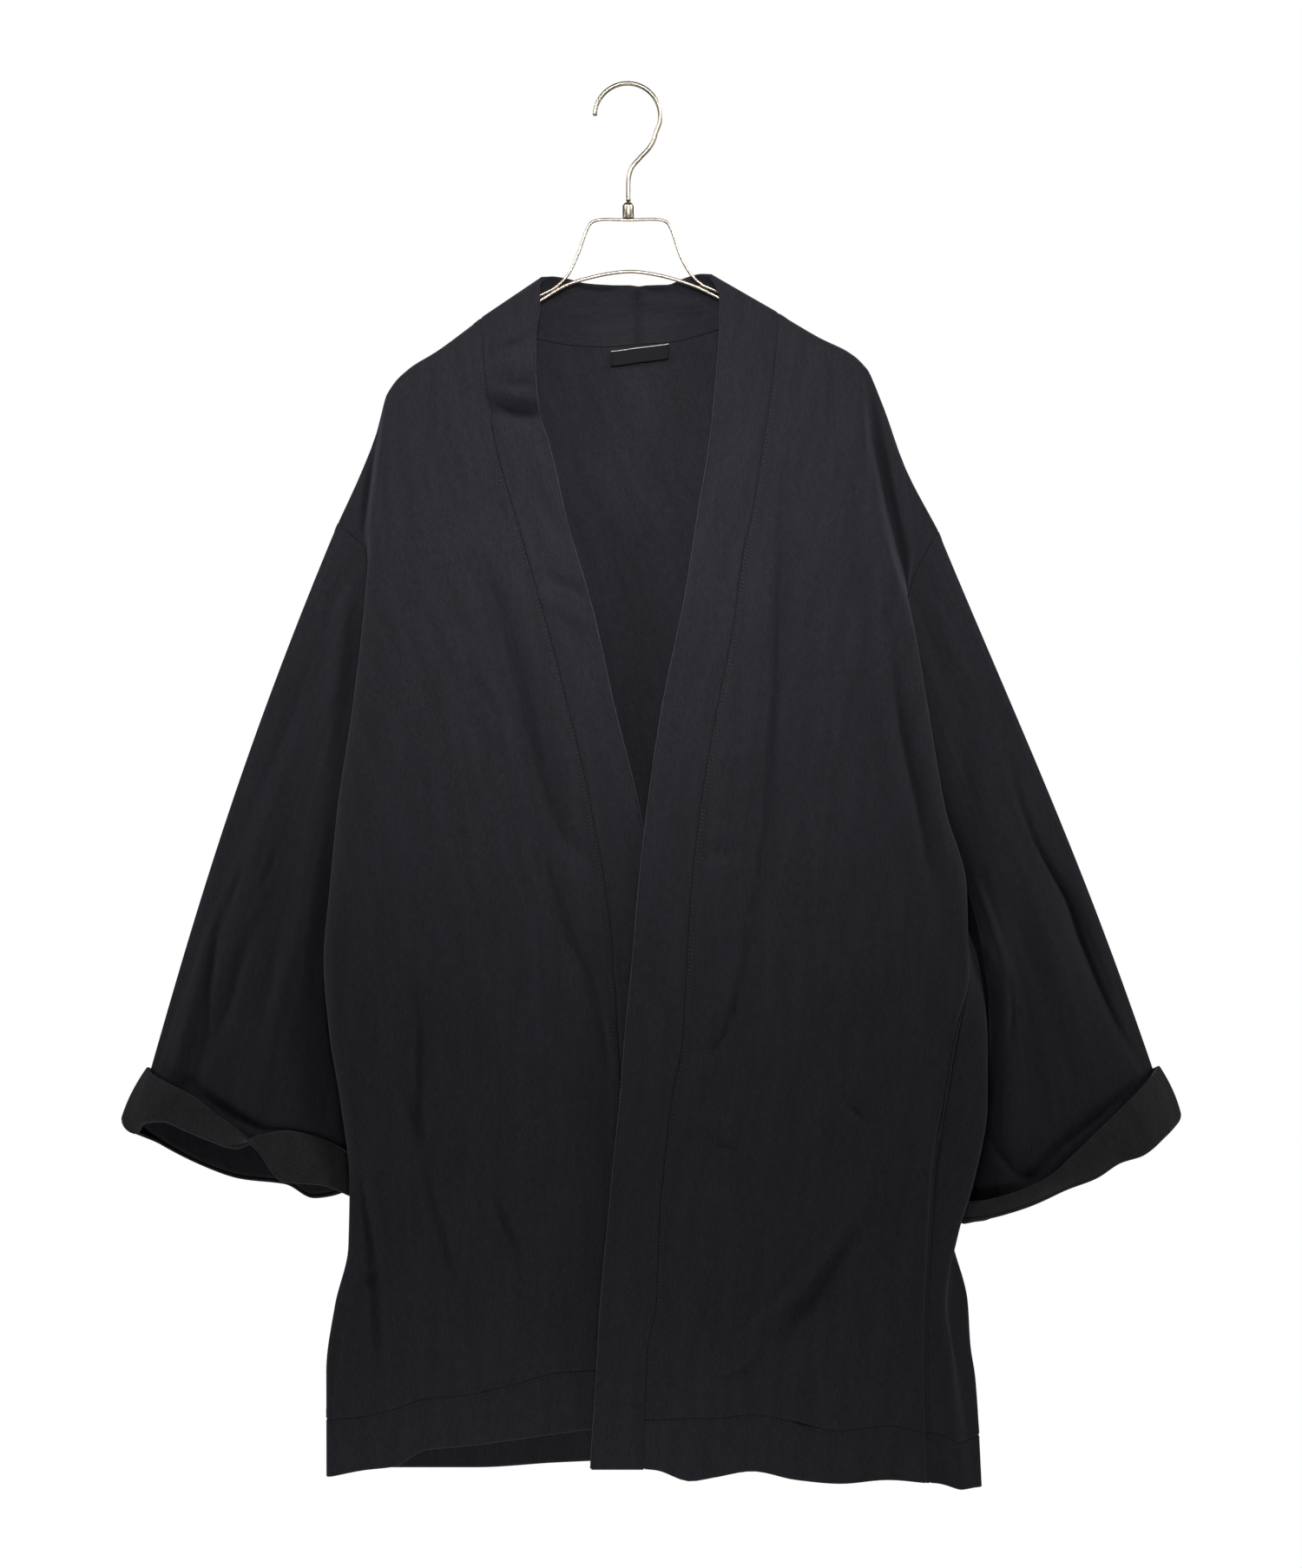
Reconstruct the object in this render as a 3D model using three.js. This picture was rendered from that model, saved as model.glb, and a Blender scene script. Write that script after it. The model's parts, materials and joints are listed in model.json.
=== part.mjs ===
// A kimono cardigan of smooth jersey, hung on a wire hanger.
// Millimetres, +Z up. +X is the viewer's right and the front of the garment faces -Y.
// The origin is the underside of the hook's top, where a rail carries the hanger.
// Right and left are the wearer's: the wearer's right is on the viewer's left.
import * as THREE from 'three';

// Driving sizes
const JERSEY = 1.6;          // wall of one layer
const BAND = 2.8;            // wall of the doubled front and neck band
const CUFF = 2.6;            // wall of the turned-up cuffs
const SEAM = 0.15;           // each piece stops this far from a seam
const SHOULDER_SEAM = 0.7;   // and the thick band this far where it crosses the shoulder
const UNDERARM = -646;       // height of the underarm
const HEM_HEIGHT = -1070;    // about where the hem bands are sewn on
const SHOULDER_SPREAD = 12;  // how far below the shoulder the front and back part
const NECK_SPREAD = 45;      // and the same below the back neck
const SHOULDER_EASE = 110;   // depth over which a panel leaves its shoulder line
const BAND_EASE = 90;        // depth over which the band's free edge comes level with its seam
const SLIT_TOP = -712;       // pocket slits in the side seams
const SLIT_BOTTOM = -850;
const SLIT_GAP = 3;          // how far the slits stand open
const LABEL_HEIGHT = 12;
const LABEL_WALL = 0.8;
const LABEL_DROP = { right: 4, left: 1.5 };   // its top edge below the neck seam, at either end
const LABEL_CLEAR = 0.3;
const LABEL_LEAN = 3;
const HOOK_RADIUS = 26.45;   // to the middle of the wire
const HOOK_SHIFT = -0.7;     // of the hook's centre from the ferrule's axis
const HOOK_WIRE = 3.7;
const FRAME_WIRE = 2.4;
const ARCH_WIRE = 2.8;
const FERRULE_TOP = -94.3;
const FERRULE_LENGTH = 12.4;
const FERRULE_RADIUS = 4.7;
const FERRULE_CHAMFER = 2;
const CLOTH_COLOUR = 0x26262b;
const METAL_COLOUR = 0xb5aa9c;

// How the cloth hangs
const FOLD_REACH = 1.6;      // a fold's foot, in half widths from its line
const FOLD_END = 0.35;       // how much of a fold's lift is left at its ends
const CREST_SPREAD = 1.2;    // width of a front's rounded edge against its depth
const SIDE_HOLD = 0.12;      // share of a panel beside its side seam that folds leave alone
const BACK_HOLD = 80;        // and depth below the back's top
const NECK_BLEND = 0.06;     // share of the back over which shoulder and neck blend
const HEM_BLEND = { right: 0.06, left: 0.04 };
const SLEEVE_HOLD = { top: 0.12, edge: 0.1 };
const BEHIND = { lift: 0.7, shift: 18 };      // a sleeve's folds repeat behind, weaker and moved out

// Shares of a panel's height at which its rows lie, above and below the underarm
const UPPER_ROWS = [0, 0.02, 0.05, 0.09, 0.14, 0.21, 0.3, 0.4, 0.5, 0.6, 0.7, 0.8, 0.9, 1];
const LOWER_ROWS = [0.09, 0.18, 0.27, 0.36, 0.45, 0.54, 0.63, 0.72, 0.81, 0.9, 1];
const HEM_ROWS = [0, 0.5, 1];
const SLEEVE_ROWS = [0, 0.04, 0.1, 0.18, 0.27, 0.37, 0.48, 0.59, 0.7, 0.8, 0.89, 0.95, 1];
const CUFF_ROWS = [0, 0.12, 0.45, 0.75, 1];
// Shares of a panel's width at which its columns lie
const FRONT_COLUMNS = [0, 0.07, 0.14, 0.21, 0.28, 0.35, 0.42, 0.49, 0.56, 0.62, 0.68, 0.73, 0.78, 0.82, 0.87,
  0.91, 0.955, 1];
const NECK_COLUMNS = [0.3, 0.312, 0.335, 0.375, 0.42, 0.46, 0.5, 0.54, 0.58, 0.625, 0.665, 0.688, 0.7];
const BACK_COLUMNS = [0, 0.02, 0.04, 0.065, 0.1, 0.14, 0.19, 0.245, ...NECK_COLUMNS, 0.755, 0.81, 0.86, 0.885,
  0.91, 0.935, 0.95, 0.965, 0.985, 1];
const BAND_COLUMNS = [0, 0.35, 0.7, 1];
// Where the points of a section lie across a panel
const FRONT_POINTS = { seam: 0, front: 0.73, crest: 0.82, side: 1 };
const BACK_POINTS = [0, 0.06, 0.14, 0.5, 0.86, 0.9, 0.935, 0.965, 1];
const NECK_START = 0.3;
const NECK_END = 0.7;
const LABEL_SHARES = [0.472, 0.495, 0.518, 0.542];

// Wearer's right front, one row for each height: the band's seam, the crest of the side fold and
// the side edge, which is the armhole down to the underarm and the side seam below it.
const RIGHT_FRONT = [
  { z: -187, seamX: -118, seamY: -10, crestX: -194, crestY: -8, round: 5, sideX: -233, sideY: 0 },
  { z: -251, seamX: -113, seamY: -13, crestX: -194, crestY: -12, round: 6, sideX: -233, sideY: 0 },
  { z: -296, seamX: -105, seamY: -15, crestX: -198, crestY: -18, round: 7, sideX: -233, sideY: 0 },
  { z: -352, seamX: -89, seamY: -17, crestX: -205, crestY: -24, round: 8, sideX: -233, sideY: 0 },
  { z: -359, seamX: -87, seamY: -17, crestX: -206, crestY: -24, round: 8, sideX: -227, sideY: -4.5 },
  { z: -373, seamX: -83, seamY: -18, crestX: -207, crestY: -26, round: 8, sideX: -212, sideY: -6 },
  { z: -421, seamX: -69, seamY: -19, crestX: -211, crestY: -28, round: 9, sideX: -206, sideY: -6 },
  { z: -501, seamX: -48, seamY: -21, crestX: -220, crestY: -31, round: 9, sideX: -204, sideY: -6 },
  { z: -583, seamX: -29, seamY: -22, crestX: -232, crestY: -33, round: 9, sideX: -210, sideY: -4 },
  { z: -646, seamX: -18, seamY: -22, crestX: -238, crestY: -34, round: 9, sideX: -220, sideY: -1 },
  { z: -705, seamX: -11, seamY: -21, crestX: -243, crestY: -33, round: 9, sideX: -222, sideY: -1 },
  { z: -760, seamX: -8, seamY: -20, crestX: -239, crestY: -30, round: 9, sideX: -221, sideY: -2 },
  { z: -818, seamX: -5, seamY: -19, crestX: -230, crestY: -26, round: 8, sideX: -218, sideY: -5 },
  { z: -881, seamX: -6, seamY: -18, crestX: -223, crestY: -22, round: 7, sideX: -212, sideY: -5 },
  { z: -934, seamX: -8, seamY: -17, crestX: -224, crestY: -20, round: 6, sideX: -216, sideY: -5 },
  { z: -982, seamX: -11, seamY: -16, crestX: -235, crestY: -18, round: 6, sideX: -230, sideY: -5 },
  { z: -1035, seamX: -14, seamY: -15, crestX: -242, crestY: -16, round: 5, sideX: -238, sideY: -4 },
  { z: -1135, seamX: -16, seamY: -15, crestX: -242, crestY: -14, round: 5, sideX: -239, sideY: -3 },
];
// Wearer's left front. Below the underarm its side seam lies in front of the fold.
const LEFT_FRONT = [
  { z: -187, seamX: 122, seamY: -10, crestX: 186, crestY: -8, round: 5, sideX: 249, sideY: 0 },
  { z: -228, seamX: 118, seamY: -12, crestX: 187, crestY: -10, round: 6, sideX: 249, sideY: 0 },
  { z: -296, seamX: 107, seamY: -15, crestX: 193, crestY: -18, round: 7, sideX: 249, sideY: 0 },
  { z: -359, seamX: 96, seamY: -18, crestX: 208, crestY: -24, round: 8, sideX: 249, sideY: 0 },
  { z: -366, seamX: 94, seamY: -18, crestX: 210, crestY: -24, round: 8, sideX: 245, sideY: -5 },
  { z: -403, seamX: 88, seamY: -20, crestX: 221, crestY: -27, round: 8, sideX: 227, sideY: -5 },
  { z: -435, seamX: 84, seamY: -21, crestX: 228, crestY: -29, round: 9, sideX: 221, sideY: -6 },
  { z: -501, seamX: 71, seamY: -24, crestX: 239, crestY: -32, round: 9, sideX: 224, sideY: -6 },
  { z: -583, seamX: 57, seamY: -28, crestX: 253, crestY: -34, round: 9, sideX: 241, sideY: -5 },
  { z: -646, seamX: 50, seamY: -30, crestX: 270, crestY: -33, round: 8, sideX: 263, sideY: -1 },
  { z: -709, seamX: 46, seamY: -30, crestX: 271, crestY: -33, round: 3, sideX: 273, sideY: -24 },
  { z: -767, seamX: 43, seamY: -29, crestX: 260, crestY: -33, round: 2, sideX: 263, sideY: -30 },
  { z: -818, seamX: 34, seamY: -28, crestX: 251, crestY: -33, round: 2, sideX: 254, sideY: -30 },
  { z: -861, seamX: 29, seamY: -27, crestX: 243, crestY: -32, round: 2, sideX: 246, sideY: -29 },
  { z: -904, seamX: 25, seamY: -27, crestX: 240, crestY: -31, round: 2, sideX: 243, sideY: -28 },
  { z: -979, seamX: 22, seamY: -26, crestX: 237, crestY: -28, round: 2, sideX: 240, sideY: -26 },
  { z: -1016, seamX: 15, seamY: -25, crestX: 236, crestY: -27, round: 2, sideX: 239, sideY: -25 },
  { z: -1135, seamX: 12, seamY: -25, crestX: 239, crestY: -24, round: 2, sideX: 241, sideY: -22 },
];
// Back, one row for each height: on the right where it turns forward and where it is flat,
// and on the left its flat, its turn, the valley inside the side fold and the fold's crest.
const BACK_RIGHT = [
  { z: -187, turnX: -213, turnY: 9, flatX: -178, flatY: 10 },
  { z: -296, turnX: -209, turnY: 15, flatX: -178, flatY: 16 },
  { z: -352, turnX: -206, turnY: 17, flatX: -174, flatY: 19 },
  { z: -373, turnX: -199, turnY: 19, flatX: -171, flatY: 21 },
  { z: -421, turnX: -193, turnY: 21, flatX: -164, flatY: 23 },
  { z: -501, turnX: -192, turnY: 24, flatX: -157, flatY: 26 },
  { z: -583, turnX: -200, turnY: 25, flatX: -164, flatY: 28 },
  { z: -646, turnX: -217, turnY: 18, flatX: -198, flatY: 28 },
  { z: -709, turnX: -224, turnY: 15, flatX: -206, flatY: 27 },
  { z: -767, turnX: -224, turnY: 12, flatX: -207, flatY: 26 },
  { z: -818, turnX: -222, turnY: 10, flatX: -207, flatY: 25 },
  { z: -881, turnX: -218, turnY: 10, flatX: -203, flatY: 24 },
  { z: -921, turnX: -219, turnY: 10, flatX: -204, flatY: 23 },
  { z: -982, turnX: -231, turnY: 9, flatX: -211, flatY: 22 },
  { z: -1016, turnX: -238, turnY: 7, flatX: -209, flatY: 22 },
  { z: -1044, turnX: -241, turnY: 6, flatX: -211, flatY: 21 },
  { z: -1135, turnX: -241, turnY: 6, flatX: -213, flatY: 20 },
];
const BACK_LEFT = [
  { z: -187, flatX: 165, turnX: 183, turnY: 9, valleyX: 197, valleyY: 7, crestX: 221, crestY: 3 },
  { z: -296, flatX: 169, turnX: 186, turnY: 15, valleyX: 204, valleyY: 11, crestX: 225, crestY: 5 },
  { z: -352, flatX: 172, turnX: 192, turnY: 17, valleyX: 207, valleyY: 13, crestX: 228, crestY: 7 },
  { z: -373, flatX: 176, turnX: 193, turnY: 19, valleyX: 207, valleyY: 16, crestX: 225, crestY: 12 },
  { z: -421, flatX: 179, turnX: 195, turnY: 22, valleyX: 206, valleyY: 18, crestX: 216, crestY: 16 },
  { z: -501, flatX: 183, turnX: 197, turnY: 24, valleyX: 207, valleyY: 21, crestX: 216, crestY: 19 },
  { z: -583, flatX: 197, turnX: 214, turnY: 25, valleyX: 223, valleyY: 21, crestX: 230, crestY: 19 },
  { z: -646, flatX: 225, turnX: 245, turnY: 24, valleyX: 252, valleyY: 19, crestX: 258, crestY: 14 },
  { z: -709, flatX: 235, turnX: 260, turnY: 20, valleyX: 269, valleyY: 8, crestX: 281, crestY: -12 },
  { z: -767, flatX: 237, turnX: 262, turnY: 19, valleyX: 272, valleyY: 4, crestX: 287, crestY: -20 },
  { z: -818, flatX: 238, turnX: 263, turnY: 17, valleyX: 272, valleyY: 2, crestX: 287, crestY: -21 },
  { z: -881, flatX: 237, turnX: 256, turnY: 15, valleyX: 262, valleyY: 0, crestX: 276, crestY: -22 },
  { z: -921, flatX: 238, turnX: 259, turnY: 14, valleyX: 259, valleyY: -4, crestX: 264, crestY: -22 },
  { z: -982, flatX: 252, turnX: 274, turnY: 10, valleyX: 256, valleyY: -8, crestX: 253, crestY: -22 },
  { z: -1016, flatX: 253, turnX: 276, turnY: 8, valleyX: 260, valleyY: -8, crestX: 258, crestY: -21 },
  { z: -1044, flatX: 258, turnX: 280, turnY: 7, valleyX: 266, valleyY: -6, crestX: 260, crestY: -18 },
  { z: -1135, flatX: 266, turnX: 285, turnY: 6, valleyX: 279, valleyY: -2, crestX: 266, crestY: -14 },
];
// Back edge of each armhole, from the shoulder down to the underarm.
const RIGHT_BACK_ARMHOLE = [
  { x: -233, z: -352, y: 0 },
  { x: -227, z: -359, y: 4.5 },
  { x: -216, z: -373, y: 9 },
  { x: -209, z: -421, y: 14 },
  { x: -206, z: -501, y: 16 },
  { x: -210, z: -583, y: 14 },
  { x: -220, z: -646, y: -1 },
];
const LEFT_BACK_ARMHOLE = [
  { x: 249, z: -359, y: 0 },
  { x: 245, z: -366, y: 5 },
  { x: 238, z: -382, y: 10 },
  { x: 230, z: -421, y: 15 },
  { x: 230, z: -501, y: 17 },
  { x: 244, z: -583, y: 17 },
  { x: 263, z: -646, y: -1 },
];
// Shoulder seams, from the neck (at 0) to the sleeve (at 1).
const RIGHT_SHOULDER = [
  { at: 0, x: -118, z: -188 },
  { at: 0.3, x: -153, z: -214 },
  { at: 0.6, x: -178, z: -230 },
  { at: 0.8, x: -194, z: -249 },
  { at: 0.87, x: -203, z: -282 },
  { at: 0.93, x: -216, z: -315 },
  { at: 1, x: -233, z: -352 },
];
const LEFT_SHOULDER = [
  { at: 0, x: 120, z: -184 },
  { at: 0.3, x: 154, z: -204 },
  { at: 0.6, x: 178, z: -216 },
  { at: 0.8, x: 192, z: -229 },
  { at: 0.87, x: 206, z: -262 },
  { at: 0.93, x: 222, z: -307 },
  { at: 1, x: 249, z: -359 },
];
// Free edge of the band, from the shoulder down the front.
const RIGHT_FREE_EDGE = [
  { x: -69, z: -155, y: 0 },
  { x: -72, z: -162, y: -6 },
  { x: -72, z: -181, y: -11 },
  { x: -75, z: -205, y: -13 },
  { x: -75, z: -232, y: -15 },
  { x: -73, z: -260, y: -13 },
  { x: -63, z: -296, y: -14 },
  { x: -50, z: -352, y: -17 },
  { x: -30, z: -421, y: -19 },
  { x: -12, z: -501, y: -21 },
  { x: 8, z: -583, y: -22 },
  { x: 18, z: -646, y: -22 },
  { x: 28, z: -705, y: -21 },
  { x: 31, z: -760, y: -20 },
  { x: 34, z: -818, y: -19 },
  { x: 33, z: -881, y: -18 },
  { x: 31, z: -934, y: -17 },
  { x: 28, z: -982, y: -16 },
  { x: 25, z: -1035, y: -15 },
  { x: 24, z: -1135, y: -15 },
];
const LEFT_FREE_EDGE = [
  { x: 66, z: -153, y: 0 },
  { x: 70, z: -162, y: -6 },
  { x: 74, z: -172, y: -10 },
  { x: 74, z: -200, y: -13 },
  { x: 72, z: -228, y: -15 },
  { x: 66, z: -289, y: -17 },
  { x: 57, z: -344, y: -19 },
  { x: 46, z: -414, y: -22 },
  { x: 28, z: -501, y: -25 },
  { x: 16, z: -583, y: -29 },
  { x: 9, z: -646, y: -31 },
  { x: 4, z: -705, y: -31 },
  { x: -2, z: -767, y: -30 },
  { x: -6, z: -818, y: -29 },
  { x: -11, z: -865, y: -28 },
  { x: -15, z: -909, y: -27 },
  { x: -22, z: -986, y: -26 },
  { x: -24, z: -1023, y: -25 },
  { x: -28, z: -1086, y: -25 },
  { x: -31, z: -1135, y: -25 },
];
// Back neck from the right shoulder to the left one: the seam, and the band's rim above it.
const NECK_SEAM = [
  { at: 0, x: -118, z: -188, y: 0 },
  { at: 0.03, x: -113, z: -189, y: 4 },
  { at: 0.08, x: -101, z: -195, y: 8 },
  { at: 0.18, x: -73, z: -203, y: 11 },
  { at: 0.31, x: -43, z: -208, y: 13 },
  { at: 0.42, x: -17, z: -209, y: 14 },
  { at: 0.5, x: 8, z: -207, y: 14 },
  { at: 0.62, x: 36, z: -205, y: 13 },
  { at: 0.72, x: 57, z: -200, y: 12 },
  { at: 0.8, x: 74, z: -195, y: 10 },
  { at: 0.91, x: 102, z: -188, y: 8 },
  { at: 0.97, x: 116, z: -184, y: 4 },
  { at: 1, x: 120, z: -184, y: 0 },
];
const NECK_RIM = [
  { at: 0, x: -69, z: -155, y: 0 },
  { at: 0.08, x: -62, z: -154, y: 4 },
  { at: 0.18, x: -52, z: -155, y: 8 },
  { at: 0.31, x: -34, z: -159, y: 11 },
  { at: 0.42, x: -14, z: -160, y: 13 },
  { at: 0.5, x: 8, z: -160, y: 14 },
  { at: 0.62, x: 31, z: -160, y: 12 },
  { at: 0.72, x: 43, z: -156, y: 9 },
  { at: 0.8, x: 53, z: -153, y: 6 },
  { at: 0.91, x: 60, z: -152, y: 3 },
  { at: 1, x: 66, z: -153, y: 0 },
];
// Hem bands: the height of the seam and of the bottom edge along each panel.
const RIGHT_HEM = [
  { x: -242, seam: -1073, bottom: -1119 },
  { x: -212, seam: -1070, bottom: -1113 },
  { x: -187, seam: -1064, bottom: -1110 },
  { x: -164, seam: -1056, bottom: -1097 },
  { x: -133, seam: -1053, bottom: -1094 },
  { x: -87, seam: -1043, bottom: -1088 },
  { x: -59, seam: -1035, bottom: -1084 },
  { x: -25, seam: -1033, bottom: -1080 },
  { x: 25, seam: -1032, bottom: -1079 },
];
const LEFT_HEM = [
  { x: -31, seam: -1070, bottom: -1108 },
  { x: 22, seam: -1071, bottom: -1111 },
  { x: 50, seam: -1070, bottom: -1120 },
  { x: 69, seam: -1070, bottom: -1117 },
  { x: 99, seam: -1067, bottom: -1112 },
  { x: 134, seam: -1073, bottom: -1119 },
  { x: 169, seam: -1080, bottom: -1122 },
  { x: 206, seam: -1076, bottom: -1119 },
  { x: 241, seam: -1082, bottom: -1122 },
];

const BACK_HEM = [
  { x: -242, seam: -1075, bottom: -1122 },
  { x: -199, seam: -1072, bottom: -1117 },
  { x: -123, seam: -1070, bottom: -1117 },
  { x: -57, seam: -1066, bottom: -1113 },
  { x: 1, seam: -1063, bottom: -1111 },
  { x: 88, seam: -1072, bottom: -1119 },
  { x: 165, seam: -1079, bottom: -1125 },
  { x: 241, seam: -1086, bottom: -1126 },
  { x: 263, seam: -1091, bottom: -1129 },
  { x: 285, seam: -1088, bottom: -1130 },
];
// Sleeve ends, once round from the outer fold over the front (at 0 to 1) and back behind (1 to 2):
// the sleeve's end, how far out the cuff's fold lies from it, and the cuff's free edge.
const RIGHT_CUFF = [
  { at: 0, x: -396, z: -833, y: 2, out: 12, edgeX: -387, edgeZ: -792, edgeY: -2 },
  { at: 0.12, x: -388, z: -830, y: -11, out: 5, edgeX: -382, edgeZ: -796, edgeY: -18 },
  { at: 0.25, x: -374, z: -829, y: -18, out: 4, edgeX: -368, edgeZ: -803, edgeY: -27 },
  { at: 0.38, x: -354, z: -837, y: -21, out: 3, edgeX: -347, edgeZ: -813, edgeY: -32 },
  { at: 0.5, x: -334, z: -845, y: -23, out: 3, edgeX: -329, edgeZ: -827, edgeY: -34 },
  { at: 0.6, x: -314, z: -851, y: -24, out: 3, edgeX: -312, edgeZ: -838, edgeY: -37 },
  { at: 0.68, x: -297, z: -845, y: -23, out: 3, edgeX: -295, edgeZ: -855, edgeY: -37 },
  { at: 0.78, x: -276, z: -842, y: -19, out: 3, edgeX: -276, edgeZ: -880, edgeY: -27 },
  { at: 0.9, x: -248, z: -849, y: -9, out: 3, edgeX: -246, edgeZ: -884, edgeY: -16 },
  { at: 1, x: -227, z: -865, y: 3, out: 3, edgeX: -224, edgeZ: -895, edgeY: 4 },
  { at: 1.1, x: -229, z: -887, y: 15, out: 3.5, edgeX: -227, edgeZ: -894, edgeY: 26 },
  { at: 1.22, x: -255, z: -895, y: 19, out: 3, edgeX: -256, edgeZ: -855, edgeY: 30 },
  { at: 1.36, x: -279, z: -884, y: 22, out: 3, edgeX: -284, edgeZ: -839, edgeY: 31 },
  { at: 1.5, x: -314, z: -880, y: 23, out: 3, edgeX: -319, edgeZ: -835, edgeY: 32 },
  { at: 1.64, x: -346, z: -869, y: 22, out: 3, edgeX: -349, edgeZ: -824, edgeY: 30 },
  { at: 1.8, x: -378, z: -851, y: 17, out: 4, edgeX: -377, edgeZ: -806, edgeY: 25 },
  { at: 1.92, x: -391, z: -840, y: 9, out: 8, edgeX: -386, edgeZ: -795, edgeY: 13 },
  { at: 2, x: -396, z: -833, y: 2, out: 12, edgeX: -387, edgeZ: -792, edgeY: -2 },
];
const LEFT_CUFF = [
  { at: 0, x: 435, z: -830, y: 2, out: 10, edgeX: 427, edgeZ: -791, edgeY: -2 },
  { at: 0.12, x: 428, z: -841, y: -10, out: 6, edgeX: 417, edgeZ: -801, edgeY: -18 },
  { at: 0.25, x: 412, z: -856, y: -18, out: 4, edgeX: 400, edgeZ: -817, edgeY: -28 },
  { at: 0.38, x: 393, z: -863, y: -21, out: 3, edgeX: 381, edgeZ: -835, edgeY: -32 },
  { at: 0.52, x: 374, z: -875, y: -22, out: 3, edgeX: 358, edgeZ: -857, edgeY: -34 },
  { at: 0.66, x: 351, z: -884, y: -21, out: 3, edgeX: 337, edgeZ: -876, edgeY: -33 },
  { at: 0.8, x: 321, z: -898, y: -18, out: 3, edgeX: 314, edgeZ: -888, edgeY: -29 },
  { at: 0.9, x: 290, z: -908, y: -12, out: 3, edgeX: 286, edgeZ: -897, edgeY: -21 },
  { at: 1, x: 271, z: -912, y: 3, out: 5, edgeX: 267, edgeZ: -900, edgeY: -6 },
  { at: 1.12, x: 287, z: -911, y: 14, out: 5, edgeX: 284, edgeZ: -877, edgeY: 22 },
  { at: 1.26, x: 319, z: -898, y: 19, out: 3, edgeX: 312, edgeZ: -866, edgeY: 29 },
  { at: 1.4, x: 347, z: -884, y: 22, out: 3, edgeX: 336, edgeZ: -852, edgeY: 32 },
  { at: 1.56, x: 377, z: -870, y: 22, out: 3, edgeX: 364, edgeZ: -832, edgeY: 31 },
  { at: 1.72, x: 402, z: -858, y: 19, out: 3, edgeX: 392, edgeZ: -814, edgeY: 28 },
  { at: 1.88, x: 426, z: -841, y: 11, out: 7, edgeX: 417, edgeZ: -799, edgeY: 17 },
  { at: 2, x: 435, z: -830, y: 2, out: 10, edgeX: 427, edgeZ: -791, edgeY: -2 },
];
// Folds: the line each follows (x, z), its half width, and its lift towards the viewer.
const RIGHT_FOLDS = [
  { name: 'seam trough', width: 12, lift: -5,
    path: [[-119, -391], [-104, -415], [-87, -477], [-72, -543], [-50, -607], [-40, -622]] },
  { name: 'seam ridge', width: 12, lift: 3,
    path: [[-103, -379], [-88, -421], [-70, -484], [-54, -547], [-34, -604]] },
  { name: 'overlap trough', width: 10, lift: -4,
    path: [[-67, -622], [-48, -681], [-33, -707], [-23, -734]] },
  { name: 'overlap ridge', width: 10, lift: 3, path: [[-52, -620], [-34, -676], [-17, -715]] },
  { name: 'chest ridge', width: 10, lift: 3, path: [[-134, -454], [-104, -508], [-77, -573]] },
  { name: 'long trough', width: 10, lift: -4,
    path: [[-167, -736], [-167, -845], [-156, -899], [-139, -965]] },
  { name: 'edge groove', width: 9, lift: -5,
    path: [[-215, -879], [-207, -929], [-201, -1005], [-197, -1064]] },
  { name: 'low crease', width: 8, lift: -3, path: [[-103, -899], [-88, -940]] },
  { name: 'band bulge', width: 17, lift: 7, path: [[-90, -212], [-88, -244]] },
  { name: 'band tuck', width: 10, lift: -6, path: [[-111, -257], [-88, -265], [-67, -260]] },
];
const LEFT_FOLDS = [
  { name: 'seam trough', width: 13, lift: -4,
    path: [[121, -239], [120, -386], [118, -496], [110, -594], [96, -688], [84, -754], [67, -806]] },
  { name: 'seam ridge', width: 13, lift: 3, path: [[101, -421], [98, -526], [88, -617], [78, -694]] },
  { name: 'side trough', width: 10, lift: -4,
    path: [[207, -414], [216, -508], [229, -562], [239, -602], [248, -692]] },
  { name: 'chest trough', width: 17, lift: -3, path: [[180, -410], [182, -484], [175, -557], [172, -594]] },
  { name: 'hip ridge', width: 12, lift: 4,
    path: [[188, -891], [149, -933], [118, -969], [90, -995], [79, -1024]] },
  { name: 'hip trough', width: 10, lift: -3, path: [[200, -911], [162, -951], [132, -986], [106, -1016]] },
  { name: 'knot', width: 10, lift: 3, path: [[56, -832], [79, -852]] },
  { name: 'low crease', width: 9, lift: -2, path: [[175, -816], [193, -832]] },
];

const RIGHT_SLEEVE_FOLDS = [
  { name: 'upper ridge', width: 10, lift: 3, path: [[-218, -386], [-237, -491]] },
  { name: 'middle trough', width: 15, lift: -4, path: [[-255, -463], [-276, -631], [-284, -757]] },
  { name: 'end ridge', width: 9, lift: 3, path: [[-354, -736], [-363, -797]] },
];
const LEFT_SLEEVE_FOLDS = [
  { name: 'long trough', width: 10, lift: -3,
    path: [[332, -619], [346, -644], [359, -669], [370, -713], [393, -762]] },
  { name: 'upper ridge', width: 10, lift: 3, path: [[249, -407], [269, -505]] },
  { name: 'underarm ridge', width: 6, lift: 4, path: [[280, -652], [298, -699], [305, -736], [302, -757]] },
  { name: 'underarm hollow', width: 6, lift: -4, path: [[280, -680], [288, -708], [291, -736]] },
  { name: 'inner hollow', width: 8, lift: -2, path: [[293, -781], [297, -834]] },
];
// Folds of the back, lifted away from the body.
const BACK_FOLDS = [
  { name: 'right trough', width: 21, lift: -3,
    path: [[-73, -323], [-84, -505], [-90, -715], [-115, -925]] },
  { name: 'left trough', width: 22, lift: -3, path: [[80, -309], [95, -491], [104, -736], [127, -911]] },
  { name: 'middle ridge', width: 24, lift: 3, path: [[8, -561], [13, -771], [8, -1023]] },
  { name: 'side ridge', width: 18, lift: 3, path: [[-143, -631], [-153, -813], [-164, -1023]] },
];
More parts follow.
